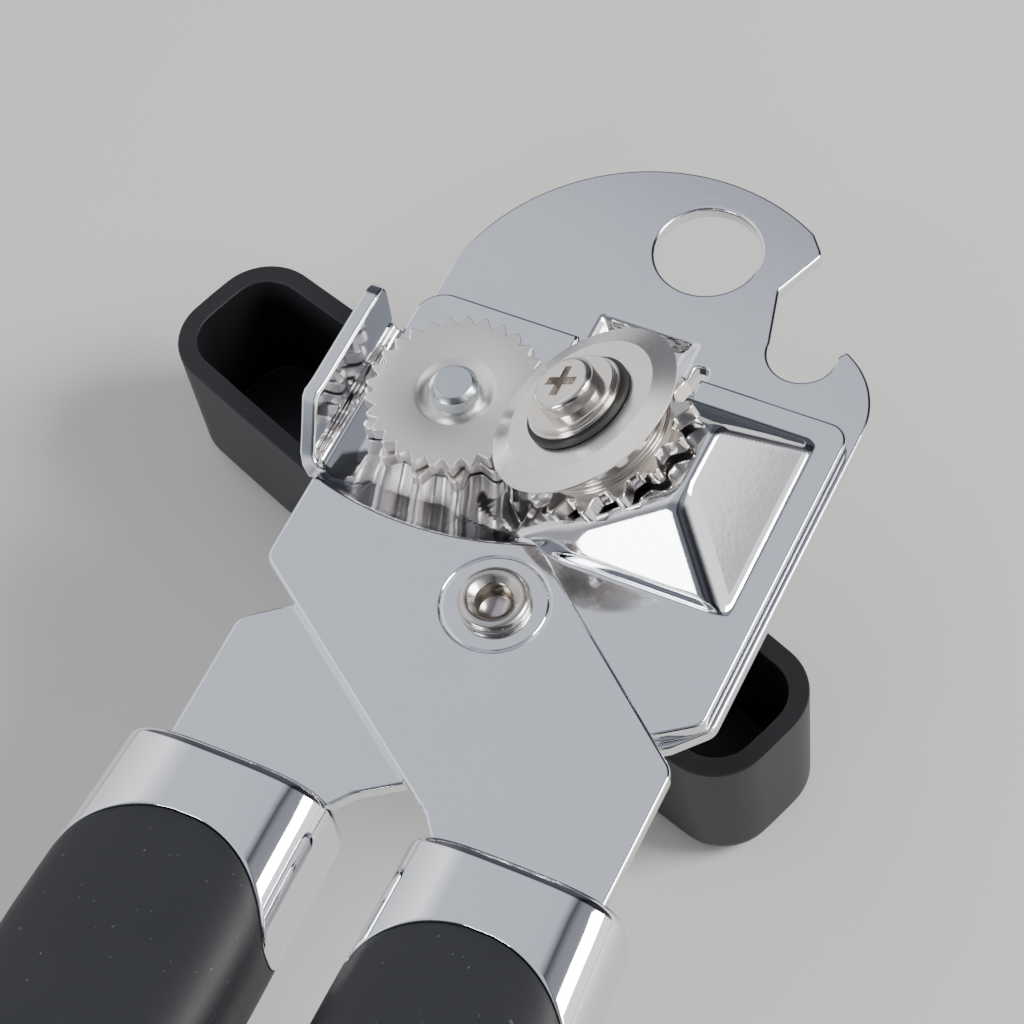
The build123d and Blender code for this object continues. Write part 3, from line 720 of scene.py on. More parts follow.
@dataclass
class PressedSheet:
    """A sheet cut to an outline and pressed to a form, with its cut edges rounded over."""

    loops: list[list[Plan]]
    form: Form
    inside: Sequence[Plan]
    thickness: float = 1.9 * MM
    edge: float = 0.42 * MM
    edge_steps: int = 4
    spacing: float = 0.8 * MM
    nudge: float = 0.02 * MM
    least_level: float = 0.1
    most_stretch: float = 1.143
    folded: Callable[[float, float], bool] = lambda x, y: False

    def seat(self, x: float, y: float) -> tuple[Vector, Vector, Vector]:
        """The sheet over one place of its flat pattern.

        Args:
            x: First coordinate in the flat pattern.
            y: Second coordinate in the flat pattern.

        Returns:
            A point of the front face, its outward normal, and the step through the sheet
            to the back face.
        """
        point = self.form(x, y)
        along = self.form(x + self.nudge, y) - self.form(x - self.nudge, y)
        up = self.form(x, y + self.nudge) - self.form(x, y - self.nudge)
        normal = along.cross(up).normalized()
        if self.folded(x, y):
            return point, normal, normal * -self.thickness
        stretch = min(1 / max(normal.z, self.least_level), self.most_stretch)
        return point, normal, Vector((0.0, 0.0, -self.thickness * stretch))

    def build(self, name: str) -> bpy.types.Object:
        """Builds the sheet.

        Args:
            name: Name of the new piece.

        Returns:
            The piece, with exact normals.
        """
        places: list[Vector] = []
        normals: list[Vector] = []
        faces: list[tuple[int, ...]] = []
        rims: list[list[Plan]] = []
        rim_ids: list[tuple[list[int], list[int]]] = []
        for order, loop in enumerate(self.loops):
            loop = evened(loop, self.spacing)
            if (loop_area(loop) > 0) != (order == 0):
                loop.reverse()
            front, back, last = self.rim(loop, places, normals, faces)
            rims.append(last)
            rim_ids.append((front, back))
        count = len(places)
        verts, tris = self.fill(rims)
        lookup = [index for front, _ in rim_ids for index in front]
        lookup_back = [index for _, back in rim_ids for index in back]
        known = len(lookup)
        for x, y in verts[known:]:
            point, normal, through = self.seat(x, y)
            places += [point, point + through]
            normals += [normal, -normal]
        lookup += [count + 2 * index for index in range(len(verts) - known)]
        lookup_back += [count + 2 * index + 1 for index in range(len(verts) - known)]
        for a, b, c in tris:
            faces.append((lookup[a], lookup[b], lookup[c]))
            faces.append((lookup_back[a], lookup_back[c], lookup_back[b]))
        mesh = bpy.data.meshes.new(name)
        mesh.from_pydata(places, [], faces)
        mesh.shade_smooth()
        mesh.normals_split_custom_set_from_vertices(normals)
        return new_object(name, mesh)

    def rim(
        self,
        loop: Sequence[Plan],
        places: list[Vector],
        normals: list[Vector],
        faces: list[tuple[int, ...]],
    ) -> tuple[list[int], list[int], list[Plan]]:
        """Rounds the sheet's cut edge over along one loop.

        Args:
            loop: The cut line, with the sheet on its left.
            places: Receives the points.
            normals: Receives their normals.
            faces: Receives the faces.

        Returns:
            Indices of the innermost front and back points, and their places in the plan.
        """
        steps = inward(loop)
        rows: list[list[int]] = []
        last: list[Plan] = []
        turns = [90 * step / self.edge_steps for step in range(self.edge_steps + 1)]
        for turn in [*reversed(turns), *[-turn for turn in turns]]:
            tilt = math.radians(abs(turn))
            inset = self.edge * (1 - math.cos(tilt))
            drop = self.edge * (1 - math.sin(tilt))
            row = []
            for (x, y), (dx, dy) in zip(loop, steps):
                place = (x + dx * inset, y + dy * inset)
                point, normal, through = self.seat(*place)
                side = self.form(x - dx * self.nudge, y - dy * self.nudge)
                side -= self.form(x + dx * self.nudge, y + dy * self.nudge)
                side.normalize()
                back = turn < 0 or (turn == 0 and len(rows) > self.edge_steps)
                share = drop / self.thickness
                facing = -normal if back else normal
                row.append(len(places))
                places.append(point + through * (1 - share if back else share))
                normals.append((facing * math.sin(tilt) + side * math.cos(tilt)).normalized())
                if not rows:
                    last.append(place)
            rows.append(row)
        for upper, lower in zip(rows, rows[1:]):
            for index in range(len(upper)):
                following = (index + 1) % len(upper)
                faces.append((upper[following], upper[index], lower[index], lower[following]))
        return rows[0], rows[-1], last

    def fill(self, rims: list[list[Plan]]) -> tuple[list[Plan], list[tuple[int, ...]]]:
        """Fills the flat pattern inside its rims with triangles.

        Args:
            rims: The rims, the outer one first.

        Returns:
            Points, those of the rims first, and triangles.
        """
        flat = [place for rim in rims for place in rim]
        edges, areas, start = [], [], 0
        for rim in rims:
            ids = list(range(start, start + len(rim)))
            edges += list(zip(ids, [*ids[1:], ids[0]]))
            areas.append(ids if start == 0 else ids[::-1])
            start += len(rim)
        points = [Vector(place) for place in [*flat, *self.inside]]
        scale = 1 / MM
        result = geometry.delaunay_2d_cdt([p * scale for p in points], edges, areas, 0, 1e-6, True)
        verts, _, tris, sources, _, owners = result
        order = {}
        kept = list(flat)
        for index, source in enumerate(sources):
            if source and min(source) < len(flat):
                order[index] = min(source)
            else:
                order[index] = len(kept)
                kept.append(tuple(verts[index] * MM))
        chosen = []
        for tri, owner in zip(tris, owners):
            if 0 in owner and len(owner) == 1:
                chosen.append(tuple(order[corner] for corner in tri))
        return kept, chosen


@dataclass(frozen=True)
class Patch:
    """A rectangle of a flat pattern that gets evenly spaced places."""

    low: Plan
    high: Plan
    step: float

    def places(self) -> list[Plan]:
        """The places, row by row."""
        rows = int((self.high[1] - self.low[1]) / self.step)
        columns = int((self.high[0] - self.low[0]) / self.step)
        return [
            (self.low[0] + column * self.step, self.low[1] + row * self.step)
            for row in range(rows + 1)
            for column in range(columns + 1)
        ]


def arc(centre: Plan, radius: float, first: float, step: float, count: int) -> list[Plan]:
    """Places along an arc.

    Args:
        centre: Its centre.
        radius: Its radius.
        first: Angle of the first place, in degrees.
        step: Angle from one place to the next, in degrees.
        count: How many places it has.

    Returns:
        The places.
    """
    turns = [math.radians(first + index * step) for index in range(count)]
    return [
        (centre[0] + radius * math.cos(turn), centre[1] + radius * math.sin(turn))
        for turn in turns
    ]


def inside_loops(place: Plan, loops: Sequence[Sequence[Plan]], margin: float) -> bool:
    """Whether a place lies inside the first loop, outside the others and clear of them all.

    Args:
        place: The place.
        loops: Closed loops, the outer one first.
        margin: How clear of every loop it must be.

    Returns:
        True if it does.
    """
    hits = 0
    x, y = place
    for loop in loops:
        for (ax, ay), (bx, by) in zip(loop, [*loop[1:], loop[0]]):
            if (ay > y) != (by > y) and x < ax + (y - ay) * (bx - ax) / (by - ay):
                hits += 1
            length = math.dist((ax, ay), (bx, by))
            if length > 0:
                share = ((x - ax) * (bx - ax) + (y - ay) * (by - ay)) / length**2
                share = min(max(share, 0.0), 1.0)
                near = (ax + (bx - ax) * share, ay + (by - ay) * share)
                if math.dist(place, near) < margin:
                    return False
    return hits % 2 == 1


@dataclass
class HeadPlates(SubAssembly):
    """The three stamped plates of the head, pressed and bent as one sheet each."""

    sheet: float = 1.9 * MM
    plate_gap: float = 0.1 * MM
    margin: float = 0.75 * MM
    tilt: float = math.radians(29.0)
    seat_right: float = 23.7 * MM
    seat_low: float = 8.8 * MM
    seat_high: float = 33.6 * MM
    seat_slope: float = 1.39
    seat_lip: float = 0.9 * MM
    lip_reach: float = 0.6 * MM
    seat_clear: float = 9.2 * MM
    clear_slope: float = 1.5
    seat_under_disc: float = 8.1 * MM
    ridge_blend: float = 3.6 * MM
    high_blend: float = 2.0 * MM
    top_blend: float = 1.8 * MM
    clear_blend: float = 1.5 * MM
    foot_blend: float = 0.7 * MM
    seat_patches: Sequence[Patch] = (
        Patch((-2.6 * MM, 7.6 * MM), (26.0 * MM, 35.0 * MM), 0.33 * MM),
        Patch((-2.6 * MM, 8.55 * MM), (26.0 * MM, 9.4 * MM), 0.165 * MM),
    )
    pocket_x: float = -0.9 * MM
    pocket_y: float = 38.1 * MM
    pocket_half: Plan = (6.15 * MM, 4.65 * MM)
    pocket_depth: float = 1.6 * MM
    pocket_slope: float = 1.28
    pocket_blends: Sequence[float] = (1.0 * MM, 0.7 * MM, 0.5 * MM)
    pocket_patch: Patch = Patch((-8.6 * MM, 32.0 * MM), (6.6 * MM, 44.2 * MM), 0.35 * MM)
    dish_arc: Sequence[Plan] = ((-26.8, 7.9), (-13.8, 6.0), (-0.8, 8.4))
    dish_step: float = 1.9 * MM
    wall_above: float = 0.5 * MM
    wall_width: float = 2.8 * MM
    wall_ease: float = 1.5
    wall_slack: float = 0.1 * MM
    wall_rows: tuple[int, int] = (-5, 23)
    wall_row: float = 0.16 * MM
    wall_turns: tuple[float, float, int] = (-125, 0.5, 140)
    wall_right: float = -0.8 * MM
    ring: float = 6.1 * MM
    ring_depth: float = 0.14 * MM
    ring_width: float = 0.16 * MM
    ring_rows: Sequence[float] = (0.0, 0.08, 0.16, 0.24, 0.34, 0.5)
    ring_turns: tuple[float, float, int] = (0, 2.5, 144)
    ring_band: tuple[float, float] = (5 * MM, 7 * MM)
    flange_bend: float = 1.3 * MM
    flange_foot: float = 8.5 * MM
    flange_start: float = -27.9 * MM
    bend_reach: tuple[float, float] = (2.6 * MM, 0.6 * MM)
    bend_span: tuple[float, float] = (9.4 * MM, 31.0 * MM)
    bend_row: float = 0.3 * MM
    flange_tip: Sequence[Plan] = (
        (1.5, 30.5), (0.4, 30.1), (0.0, 29.0), (0.0, 14.6), (0.25, 13.6), (1.0, 12.8)
    )
    flange_root: Sequence[Plan] = ((-2.0, 9.9), (-0.6, 9.2))

    def __post_init__(self) -> None:
        """Reads the pivot, the cutter's axis and the flange's place from the frame."""
        self.pivot = Vector(JOINTS["handle_pivot"]["pos_m"])
        self.cutter = Vector(JOINTS["cutter_turn"]["pos_m"])
        self.flange_low, self.flange_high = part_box("feed_plate")
        self.dish = self.circle(*self.dish_arc)
        self.bend_x = self.flange_low.x + self.sheet + self.flange_bend

    def circle(self, first: Plan, second: Plan, third: Plan) -> tuple[Plan, float]:
        """Fits an arc through three places.

        Args:
            first: A place in millimetres.
            second: Another.
            third: Another, not in line with them.

        Returns:
            The arc's centre and radius, in metres.
        """
        (ax, ay), (bx, by), (cx, cy) = first, second, third
        d = 2 * (ax * (by - cy) + bx * (cy - ay) + cx * (ay - by))
        a2, b2, c2 = ax * ax + ay * ay, bx * bx + by * by, cx * cx + cy * cy
        ux = (a2 * (by - cy) + b2 * (cy - ay) + c2 * (ay - by)) / d
        uy = (a2 * (cx - bx) + b2 * (ax - cx) + c2 * (bx - ax)) / d
        return (ux * MM, uy * MM), math.dist((ux, uy), first) * MM

    def seat_form(self, x: float, y: float) -> Vector:
        """Front face of the cutter plate, with the raised seat of the tilted cutter.

        Args:
            x: First coordinate in the flat pattern.
            y: Second coordinate in the flat pattern.

        Returns:
            The point.
        """
        u, v = x - self.pivot.x, y - self.pivot.y
        inside = v - self.seat_low
        share = min(max(inside / self.lip_reach, 0.0), 1.0)
        low = inside * self.seat_slope + self.seat_lip * eased(share)
        right = (self.seat_right - u) * self.seat_slope
        high = (self.seat_high - v) * self.seat_slope
        top = self.seat_top_z + (x - self.seat_top_x) * math.tan(self.tilt) - self.sheet
        clear = (math.hypot(u, v) - self.seat_clear) * self.clear_slope
        rise = soft_min(right, low, self.ridge_blend)
        rise = soft_min(rise, high, self.high_blend)
        rise = soft_min(rise, top, self.top_blend)
        rise = soft_min(rise, clear, self.clear_blend)
        return Vector((x, y, self.sheet + soft_max(rise, 0.0, self.foot_blend)))

    def pocket_form(self, x: float, y: float) -> Vector:
        """Front face of the opener plate, with the pocket pressed behind the cutter.

        Args:
            x: First coordinate in the flat pattern.
            y: Second coordinate in the flat pattern.

        Returns:
            The point.
        """
        u = abs(x - self.pivot.x - self.pocket_x)
        v = abs(y - self.pivot.y - self.pocket_y)
        side = (self.pocket_half[0] - u) * self.pocket_slope
        end = (self.pocket_half[1] - v) * self.pocket_slope
        corner, floor, rim = self.pocket_blends
        depth = soft_min(soft_min(side, end, corner), self.pocket_depth, floor)
        return Vector((x, y, -soft_max(depth, 0.0, rim)))

    def feed_form(self, x: float, y: float) -> Vector:
        """Front face of the feed plate: neck, dish and the bent can guide flange.

        Args:
            x: First coordinate in the flat pattern.
            y: Second coordinate in the flat pattern.

        Returns:
            The point.
        """
        u, v = x - self.pivot.x, y - self.pivot.y
        (cx, cy), radius = self.dish
        outside = radius - math.hypot(u - cx, v - cy)
        share = min(max((outside + self.wall_above) / self.wall_width, 0.0), 1.0)
        drop = math.sin(share * math.pi / 2) ** self.wall_ease
        z = 2 * self.sheet + self.plate_gap - self.dish_step * drop
        away = math.hypot(u, v) - self.ring
        z -= self.ring_depth * math.exp(-((away / self.ring_width) ** 2))
        past = self.bend_x - x
        if past <= 0 or v < self.flange_foot:
            return Vector((x, y, z))
        turn = min(past / self.flange_bend, math.pi / 2)
        rise = max(past - self.flange_bend * math.pi / 2, 0.0)
        across = self.bend_x - self.flange_bend * math.sin(turn)
        return Vector((across, y, z + self.flange_bend * (1 - math.cos(turn)) + rise))

    def build(self) -> None:
        """Presses the three plates."""
        tilt = self.tilt
        spot = self.cutter - self.seat_under_disc * Vector((-math.sin(tilt), 0.0, math.cos(tilt)))
        self.seat_top_x, self.seat_top_z = spot.x, spot.z
        opener = self.cut_lines("opener_plate", -self.sheet)
        self.press("opener_plate", opener, self.pocket_form)
        self.press("cutter_plate", self.cut_lines("cutter_plate", 0.0), self.seat_form)
        self.press("feed_plate", self.feed_pattern(), self.feed_form)

    def cut_lines(self, node: str, back: float) -> list[list[Plan]]:
        """Cut lines of a plate, seen on its back, without the corners of pressed flats.

        Args:
            node: The plate's frame node.
            back: Height of its back face.

        Returns:
            Closed loops, the outer one first.
        """
        return [loop for loop in plan_loops(node, [back], -1) if len(loop) > FLAT_CORNERS]

    def press(self, node: str, loops: list[list[Plan]], form: Form) -> None:
        """Presses one plate.

        Args:
            node: The plate's frame node.
            loops: Its cut lines, the outer one first.
            form: Its front face.
        """
        inside = [p for p in self.places(node) if inside_loops(p, loops, self.margin)]
        folded = self.in_fold if node == "feed_plate" else (lambda x, y: False)
        sheet = PressedSheet(loops, form, inside, self.sheet, folded=folded)
        self.stand_for(sheet.build(f"dressed_{node}"), node)

    def places(self, node: str) -> list[Plan]:
        """Places in a plate's flat pattern where its form needs points.

        Args:
            node: The plate's frame node.

        Returns:
            The places, in metres.
        """
        if node == "cutter_plate":
            found = [place for patch in self.seat_patches for place in patch.places()]
        elif node == "opener_plate":
            found = self.pocket_patch.places()
        else:
            found = self.feed_places()
        return [(x + self.pivot.x, y + self.pivot.y) for x, y in found]

    def feed_places(self) -> list[Plan]:
        """Places along the feed plate's dish wall, round its rivet and in its bend.

        Returns:
            The places, measured from the pivot.
        """
        middle, radius = self.dish
        found = []
        for row in range(*self.wall_rows):
            found += arc(middle, radius + row * self.wall_row, *self.wall_turns)
        found = [place for place in found if place[0] < self.wall_right]
        for away in (*(-row for row in reversed(self.ring_rows[1:])), *self.ring_rows):
            found += arc((0.0, 0.0), self.ring + away * MM, *self.ring_turns)
        bend = self.bend_x - self.pivot.x
        low = (bend - self.bend_reach[0], self.bend_span[0])
        high = (bend + self.bend_reach[1], self.bend_span[1])
        return found + Patch(low, high, self.bend_row).places()

    def in_fold(self, x: float, y: float) -> bool:
        """Whether a place of the feed plate's pattern lies in its bent flange."""
        return x < self.bend_x and y - self.pivot.y >= self.flange_foot

    def feed_pattern(self) -> list[list[Plan]]:
        """Cut lines of the feed plate's flat pattern, with its flange unfolded.

        Returns:
            Closed loops, the outer one first.
        """
        floor_z, neck_z = self.sheet + self.plate_gap, 2 * self.sheet + self.plate_gap
        neck = plan_loops("feed_plate", [neck_z], 1)
        floor = plan_loops("feed_plate", [floor_z], 1)
        lower, upper = self.off_dish(neck[0]), self.off_dish(floor[0])
        py, bend = self.pivot.y, self.bend_x
        tip = bend - (self.flange_high.z - floor_z - self.flange_bend * (1 - math.pi / 2))
        cut = [(tip + x * MM, py + y * MM) for x, y in self.flange_tip]
        cut += [(bend + x * MM, py + y * MM) for x, y in self.flange_root]
        flange = [p for p in upper if p[0] < self.pivot.x + self.flange_start]
        first = upper.index(flange[0])
        kept = [p for p in upper if p not in flange]
        outline = [*kept[:first], *cut, *kept[first:]]
        holes = [loop for loop in [*neck[1:], *floor[1:]] if self.is_hole(loop)]
        return [[*lower, *outline], *holes]

    def is_hole(self, loop: Sequence[Plan]) -> bool:
        """Whether a loop is a bored hole and not the ring pressed round the rivet."""
        reach = max(math.dist(place, self.pivot.to_2d()) for place in loop)
        return not self.ring_band[0] < reach < self.ring_band[1]

    def off_dish(self, loop: list[Plan]) -> list[Plan]:
        """The part of a loop that doesn't run along the dish's wall, anticlockwise.

        Args:
            loop: A closed loop that follows the wall for part of its way.

        Returns:
            The rest of it, in order, with the wall's right-hand end.
        """
        (cx, cy), radius = self.dish
        if loop_area(loop) < 0:
            loop = loop[::-1]
        px, py = self.pivot.x, self.pivot.y
        on_wall = [
            abs(math.dist((x - px, y - py), (cx, cy)) - radius) < self.wall_slack and y > py
            for x, y in loop
        ]
        start = next(i for i in range(len(loop)) if on_wall[i - 1] and not on_wall[i])
        turned = [*loop[start:], *loop[:start]]
        marks = [*on_wall[start:], *on_wall[:start]]
        return [place for place, mark in zip(turned, marks) if not mark]


@dataclass
class TurnedParts(SubAssembly):
    """Rivet, shaft, bushing, washers, drum, screws and knob, with broken edges."""

    softness: dict[str, float] = field(
        default_factory=lambda: {
            "pivot_rivet": 0.25 * MM,
            "pivot_washer": 0.15 * MM,
            "drive_shaft": 0.12 * MM,
            "shaft_bushing": 0.12 * MM,
            "thrust_washer": 0.12 * MM,
            "cutter_drum": 0.08 * MM,
            "cutter_screw": 0.12 * MM,
            "cutter_spacer": 0.14 * MM,
            "cutter_washer": 0.14 * MM,
            "cutter_spring_washer": 0.14 * MM,
            "seat_washer": 0.1 * MM,
            "knob": 0.7 * MM,
        }
    )

    def build(self) -> None:
        """Copies each part with its edges broken."""
        for node, width in self.softness.items():
            self.stand_for(rounded_copy(node, f"dressed_{node}", width), node)


@dataclass
class ToothedWheel:
    """Sizes of one toothed wheel, drawn from its own axis."""

    node: str
    joint: str
    teeth: int
    root: float
    tip: float
    root_width: float
    tip_width: float
    first: float
    bore: float
    round_over: float
    dish: Sequence[tuple[float, float]] = ()
    blur: float = 0.05
    samples: int = 7
    steps: int = 14
    chamfer: float = 0.3
    support: float = 1.6
    rim_band: float = 0.5 * MM

    def radius(self, share: float) -> float:
        """Radius of the outline.

        Args:
            share: Place within one pitch, from -0.5 to 0.5 with the tooth at 0.

        Returns:
            The radius in metres.
        """
        pitch = 2 * math.pi / self.teeth
        tip_share = self.tip_width / self.tip / pitch / 2
        root_share = self.root_width / self.root / pitch / 2
        total = 0.0
        for index in range(self.samples):
            offset = share + self.blur * (2 * index / (self.samples - 1) - 1)
            away = abs((offset + 0.5) % 1.0 - 0.5)
            rise = min(max((root_share - away) / (root_share - tip_share), 0.0), 1.0)
            total += self.root + (self.tip - self.root) * rise
        return total / self.samples

    def sector(self, low: float, high: float) -> bpy.types.Mesh:
        """One tooth's slice of the wheel, from its bore to its tip.

        Args:
            low: Height of the lower face.
            high: Height of the upper face.

        Returns:
            The slice, open where the next slices join.
        """
        work = bmesh.new()
        columns = []
        over = self.round_over
        cut = self.chamfer * over
        for index in range(self.steps + 1):
            share = index / self.steps - 0.5
            outer = self.radius(share)
            angle = share * 2 * math.pi / self.teeth
            profile = [(self.bore, low), (outer - over, low), (outer - cut, low + cut)]
            profile += [(outer, low + over), (outer, high - over), (outer - cut, high - cut)]
            profile += [(outer - over, high), (outer - self.support * over, high)]
            profile += [(self.root - self.rim_band, high)]
            profile += [(r, high - drop) for r, drop in self.dish]
            bore_top = self.dish[-1][1] if self.dish else 0.0
            profile += [(self.bore, high - bore_top)]
            columns.append(
                [
                    work.verts.new((r * math.cos(angle), r * math.sin(angle), z))
                    for r, z in profile
                ]
            )
        for here, there in zip(columns, columns[1:]):
            for index in range(len(here)):
                following = (index + 1) % len(here)
                work.faces.new((here[index], there[index], there[following], here[following]))
        bmesh.ops.recalc_face_normals(work, faces=work.faces)
        mesh = bpy.data.meshes.new(f"{self.node}_slice")
        work.to_mesh(mesh)
        work.free()
        return mesh


@dataclass(frozen=True)
class ToothRing:
    """Geometry Nodes tree that sets slices of a wheel round its axis."""

    weld: float = 0.004 * MM
    sockets: Sequence[tuple[str, str]] = (
        ("Slice", "NodeSocketGeometry"),
        ("Teeth", "NodeSocketInt"),
        ("Weld", "NodeSocketFloat"),
        ("Finish", "NodeSocketMaterial"),
    )

    def tree(self) -> bpy.types.NodeTree:
        """Builds the tree.

        Returns:
            The tree, with inputs Slice, Teeth, Weld and Finish.
        """
        group = bpy.data.node_groups.new("tooth_ring", "GeometryNodeTree")
        for name, kind in self.sockets:
            group.interface.new_socket(name, in_out="INPUT", socket_type=kind)
        group.interface.new_socket("Wheel", in_out="OUTPUT", socket_type="NodeSocketGeometry")
        bench = NodeBench(group)
        given = {name: bench.node("NodeGroupInput", output=name) for name, _ in self.sockets}
        spots = {"Count": given["Teeth"], "Offset": (0.0, 0.0, 0.0)}
        line = bench.node("GeometryNodeMeshLine", {}, spots)
        angle = bench.node("GeometryNodeInputIndex") * (math.tau / given["Teeth"])
        turn = bench.node("ShaderNodeCombineXYZ", {}, {"Z": angle})
        copied = {"Points": line, "Instance": given["Slice"], "Rotation": turn}
        copies = bench.node("GeometryNodeInstanceOnPoints", {}, copied)
        real = bench.node("GeometryNodeRealizeInstances", {}, {0: copies})
        joined = {"Geometry": real, "Distance": given["Weld"]}
        wheel = bench.node("GeometryNodeMergeByDistance", {}, joined)
        painted = {"Geometry": wheel, "Material": given["Finish"]}
        bench.node(
            "NodeGroupOutput", {}, {"Wheel": bench.node("GeometryNodeSetMaterial", {}, painted)}
        )
        return group

    def ring(
        self,
        group: bpy.types.NodeTree,
        piece: bpy.types.Object,
        teeth: int,
        finish: bpy.types.Material,
    ) -> None:
        """Turns a slice into a whole wheel.

        Args:
            group: The tooth ring tree.
            piece: The object that holds the slice.
            teeth: How many slices the wheel has.
            finish: The wheel's material.
        """
        modifier = piece.modifiers.new("teeth", "NODES")
        modifier.node_group = group
        values = {"Teeth": teeth, "Weld": self.weld, "Finish": finish}
        for item in group.interface.items_tree:
            if item.in_out == "INPUT" and item.name in values:
                modifier[item.identifier] = values[item.name]
        settle(piece)


@dataclass
class Wheels(SubAssembly):
    """The serrated feed wheel and the two gears behind the cutting edges."""

    finishes: dict[str, bpy.types.Material]
    wheels: Sequence[ToothedWheel] = (
        ToothedWheel(
            node="feed_wheel",
            joint="knob_turn",
            teeth=29,
            root=9.35 * MM,
            tip=10.5 * MM,
            root_width=1.9 * MM,
            tip_width=0.25 * MM,
            first=83.0,
            bore=1.9 * MM,
            round_over=0.12 * MM,
            dish=(
                (4.9 * MM, 0.0),
                (4.5 * MM, 0.1 * MM),
                (4.0 * MM, 0.45 * MM),
                (3.4 * MM, 0.58 * MM),
            ),
            blur=0.03,
        ),
        ToothedWheel(
            node="feed_gear",
            joint="knob_turn",
            teeth=14,
            root=9.0 * MM,
            tip=11.05 * MM,
            root_width=2.4 * MM,
            tip_width=1.1 * MM,
            first=180.0 / 14,
            bore=1.9 * MM,
            round_over=0.2 * MM,
        ),
        ToothedWheel(
            node="cutter_gear",
            joint="cutter_turn",
            teeth=14,
            root=9.0 * MM,
            tip=11.05 * MM,
            root_width=2.4 * MM,
            tip_width=1.1 * MM,
            first=180.0,
            bore=4.4 * MM,
            round_over=0.2 * MM,
        ),
    )

    def build(self) -> None:
        """Sets each wheel's slices round its joint's axis."""
        ring = ToothRing()
        group = ring.tree()
        for wheel in self.wheels:
            joint = JOINTS[wheel.joint]
            centre, axis = Vector(joint["pos_m"]), Vector(joint["axis"])
            heights = [
                (vert.co - centre).dot(axis) for vert in frame["nodes"][wheel.node].data.vertices
            ]
            low, high = min(heights), max(heights)
            if wheel.node == "feed_gear":
                high -= self.boss(wheel, centre, low)
            piece = new_object(f"dressed_{wheel.node}", wheel.sector(low, high))
            ring.ring(group, piece, wheel.teeth, self.finishes[SLOTS[wheel.node]])
            across = Vector((axis.z, 0.0, -axis.x))
            first = Matrix.Rotation(math.radians(wheel.first), 4, "Z")
            piece.data.transform(seat_matrix(centre, axis, across) @ first)
            piece.data.shade_smooth()
            weight_normals(piece)
            self.stand_for(piece, wheel.node)

    def boss(self, wheel: ToothedWheel, centre: Vector, low: float) -> float:
        """Height of the round boss on top of a gear.

        Args:
            wheel: The gear.
            centre: A point on its axis.
            low: Height of its lower face.

        Returns:
            How far the boss stands above the teeth.
        """
        rim = [
            vert.co.z - centre.z
            for vert in frame["nodes"][wheel.node].data.vertices
            if (vert.co - centre).to_2d().length > wheel.root
        ]
        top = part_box(wheel.node)[1].z - centre.z
        return top - max(rim) if max(rim) > low else 0.0


@dataclass(frozen=True)
class Station:
    """Full width and thickness of a handle at a distance down from its top."""

    down: float
    wide: float
    thick: float


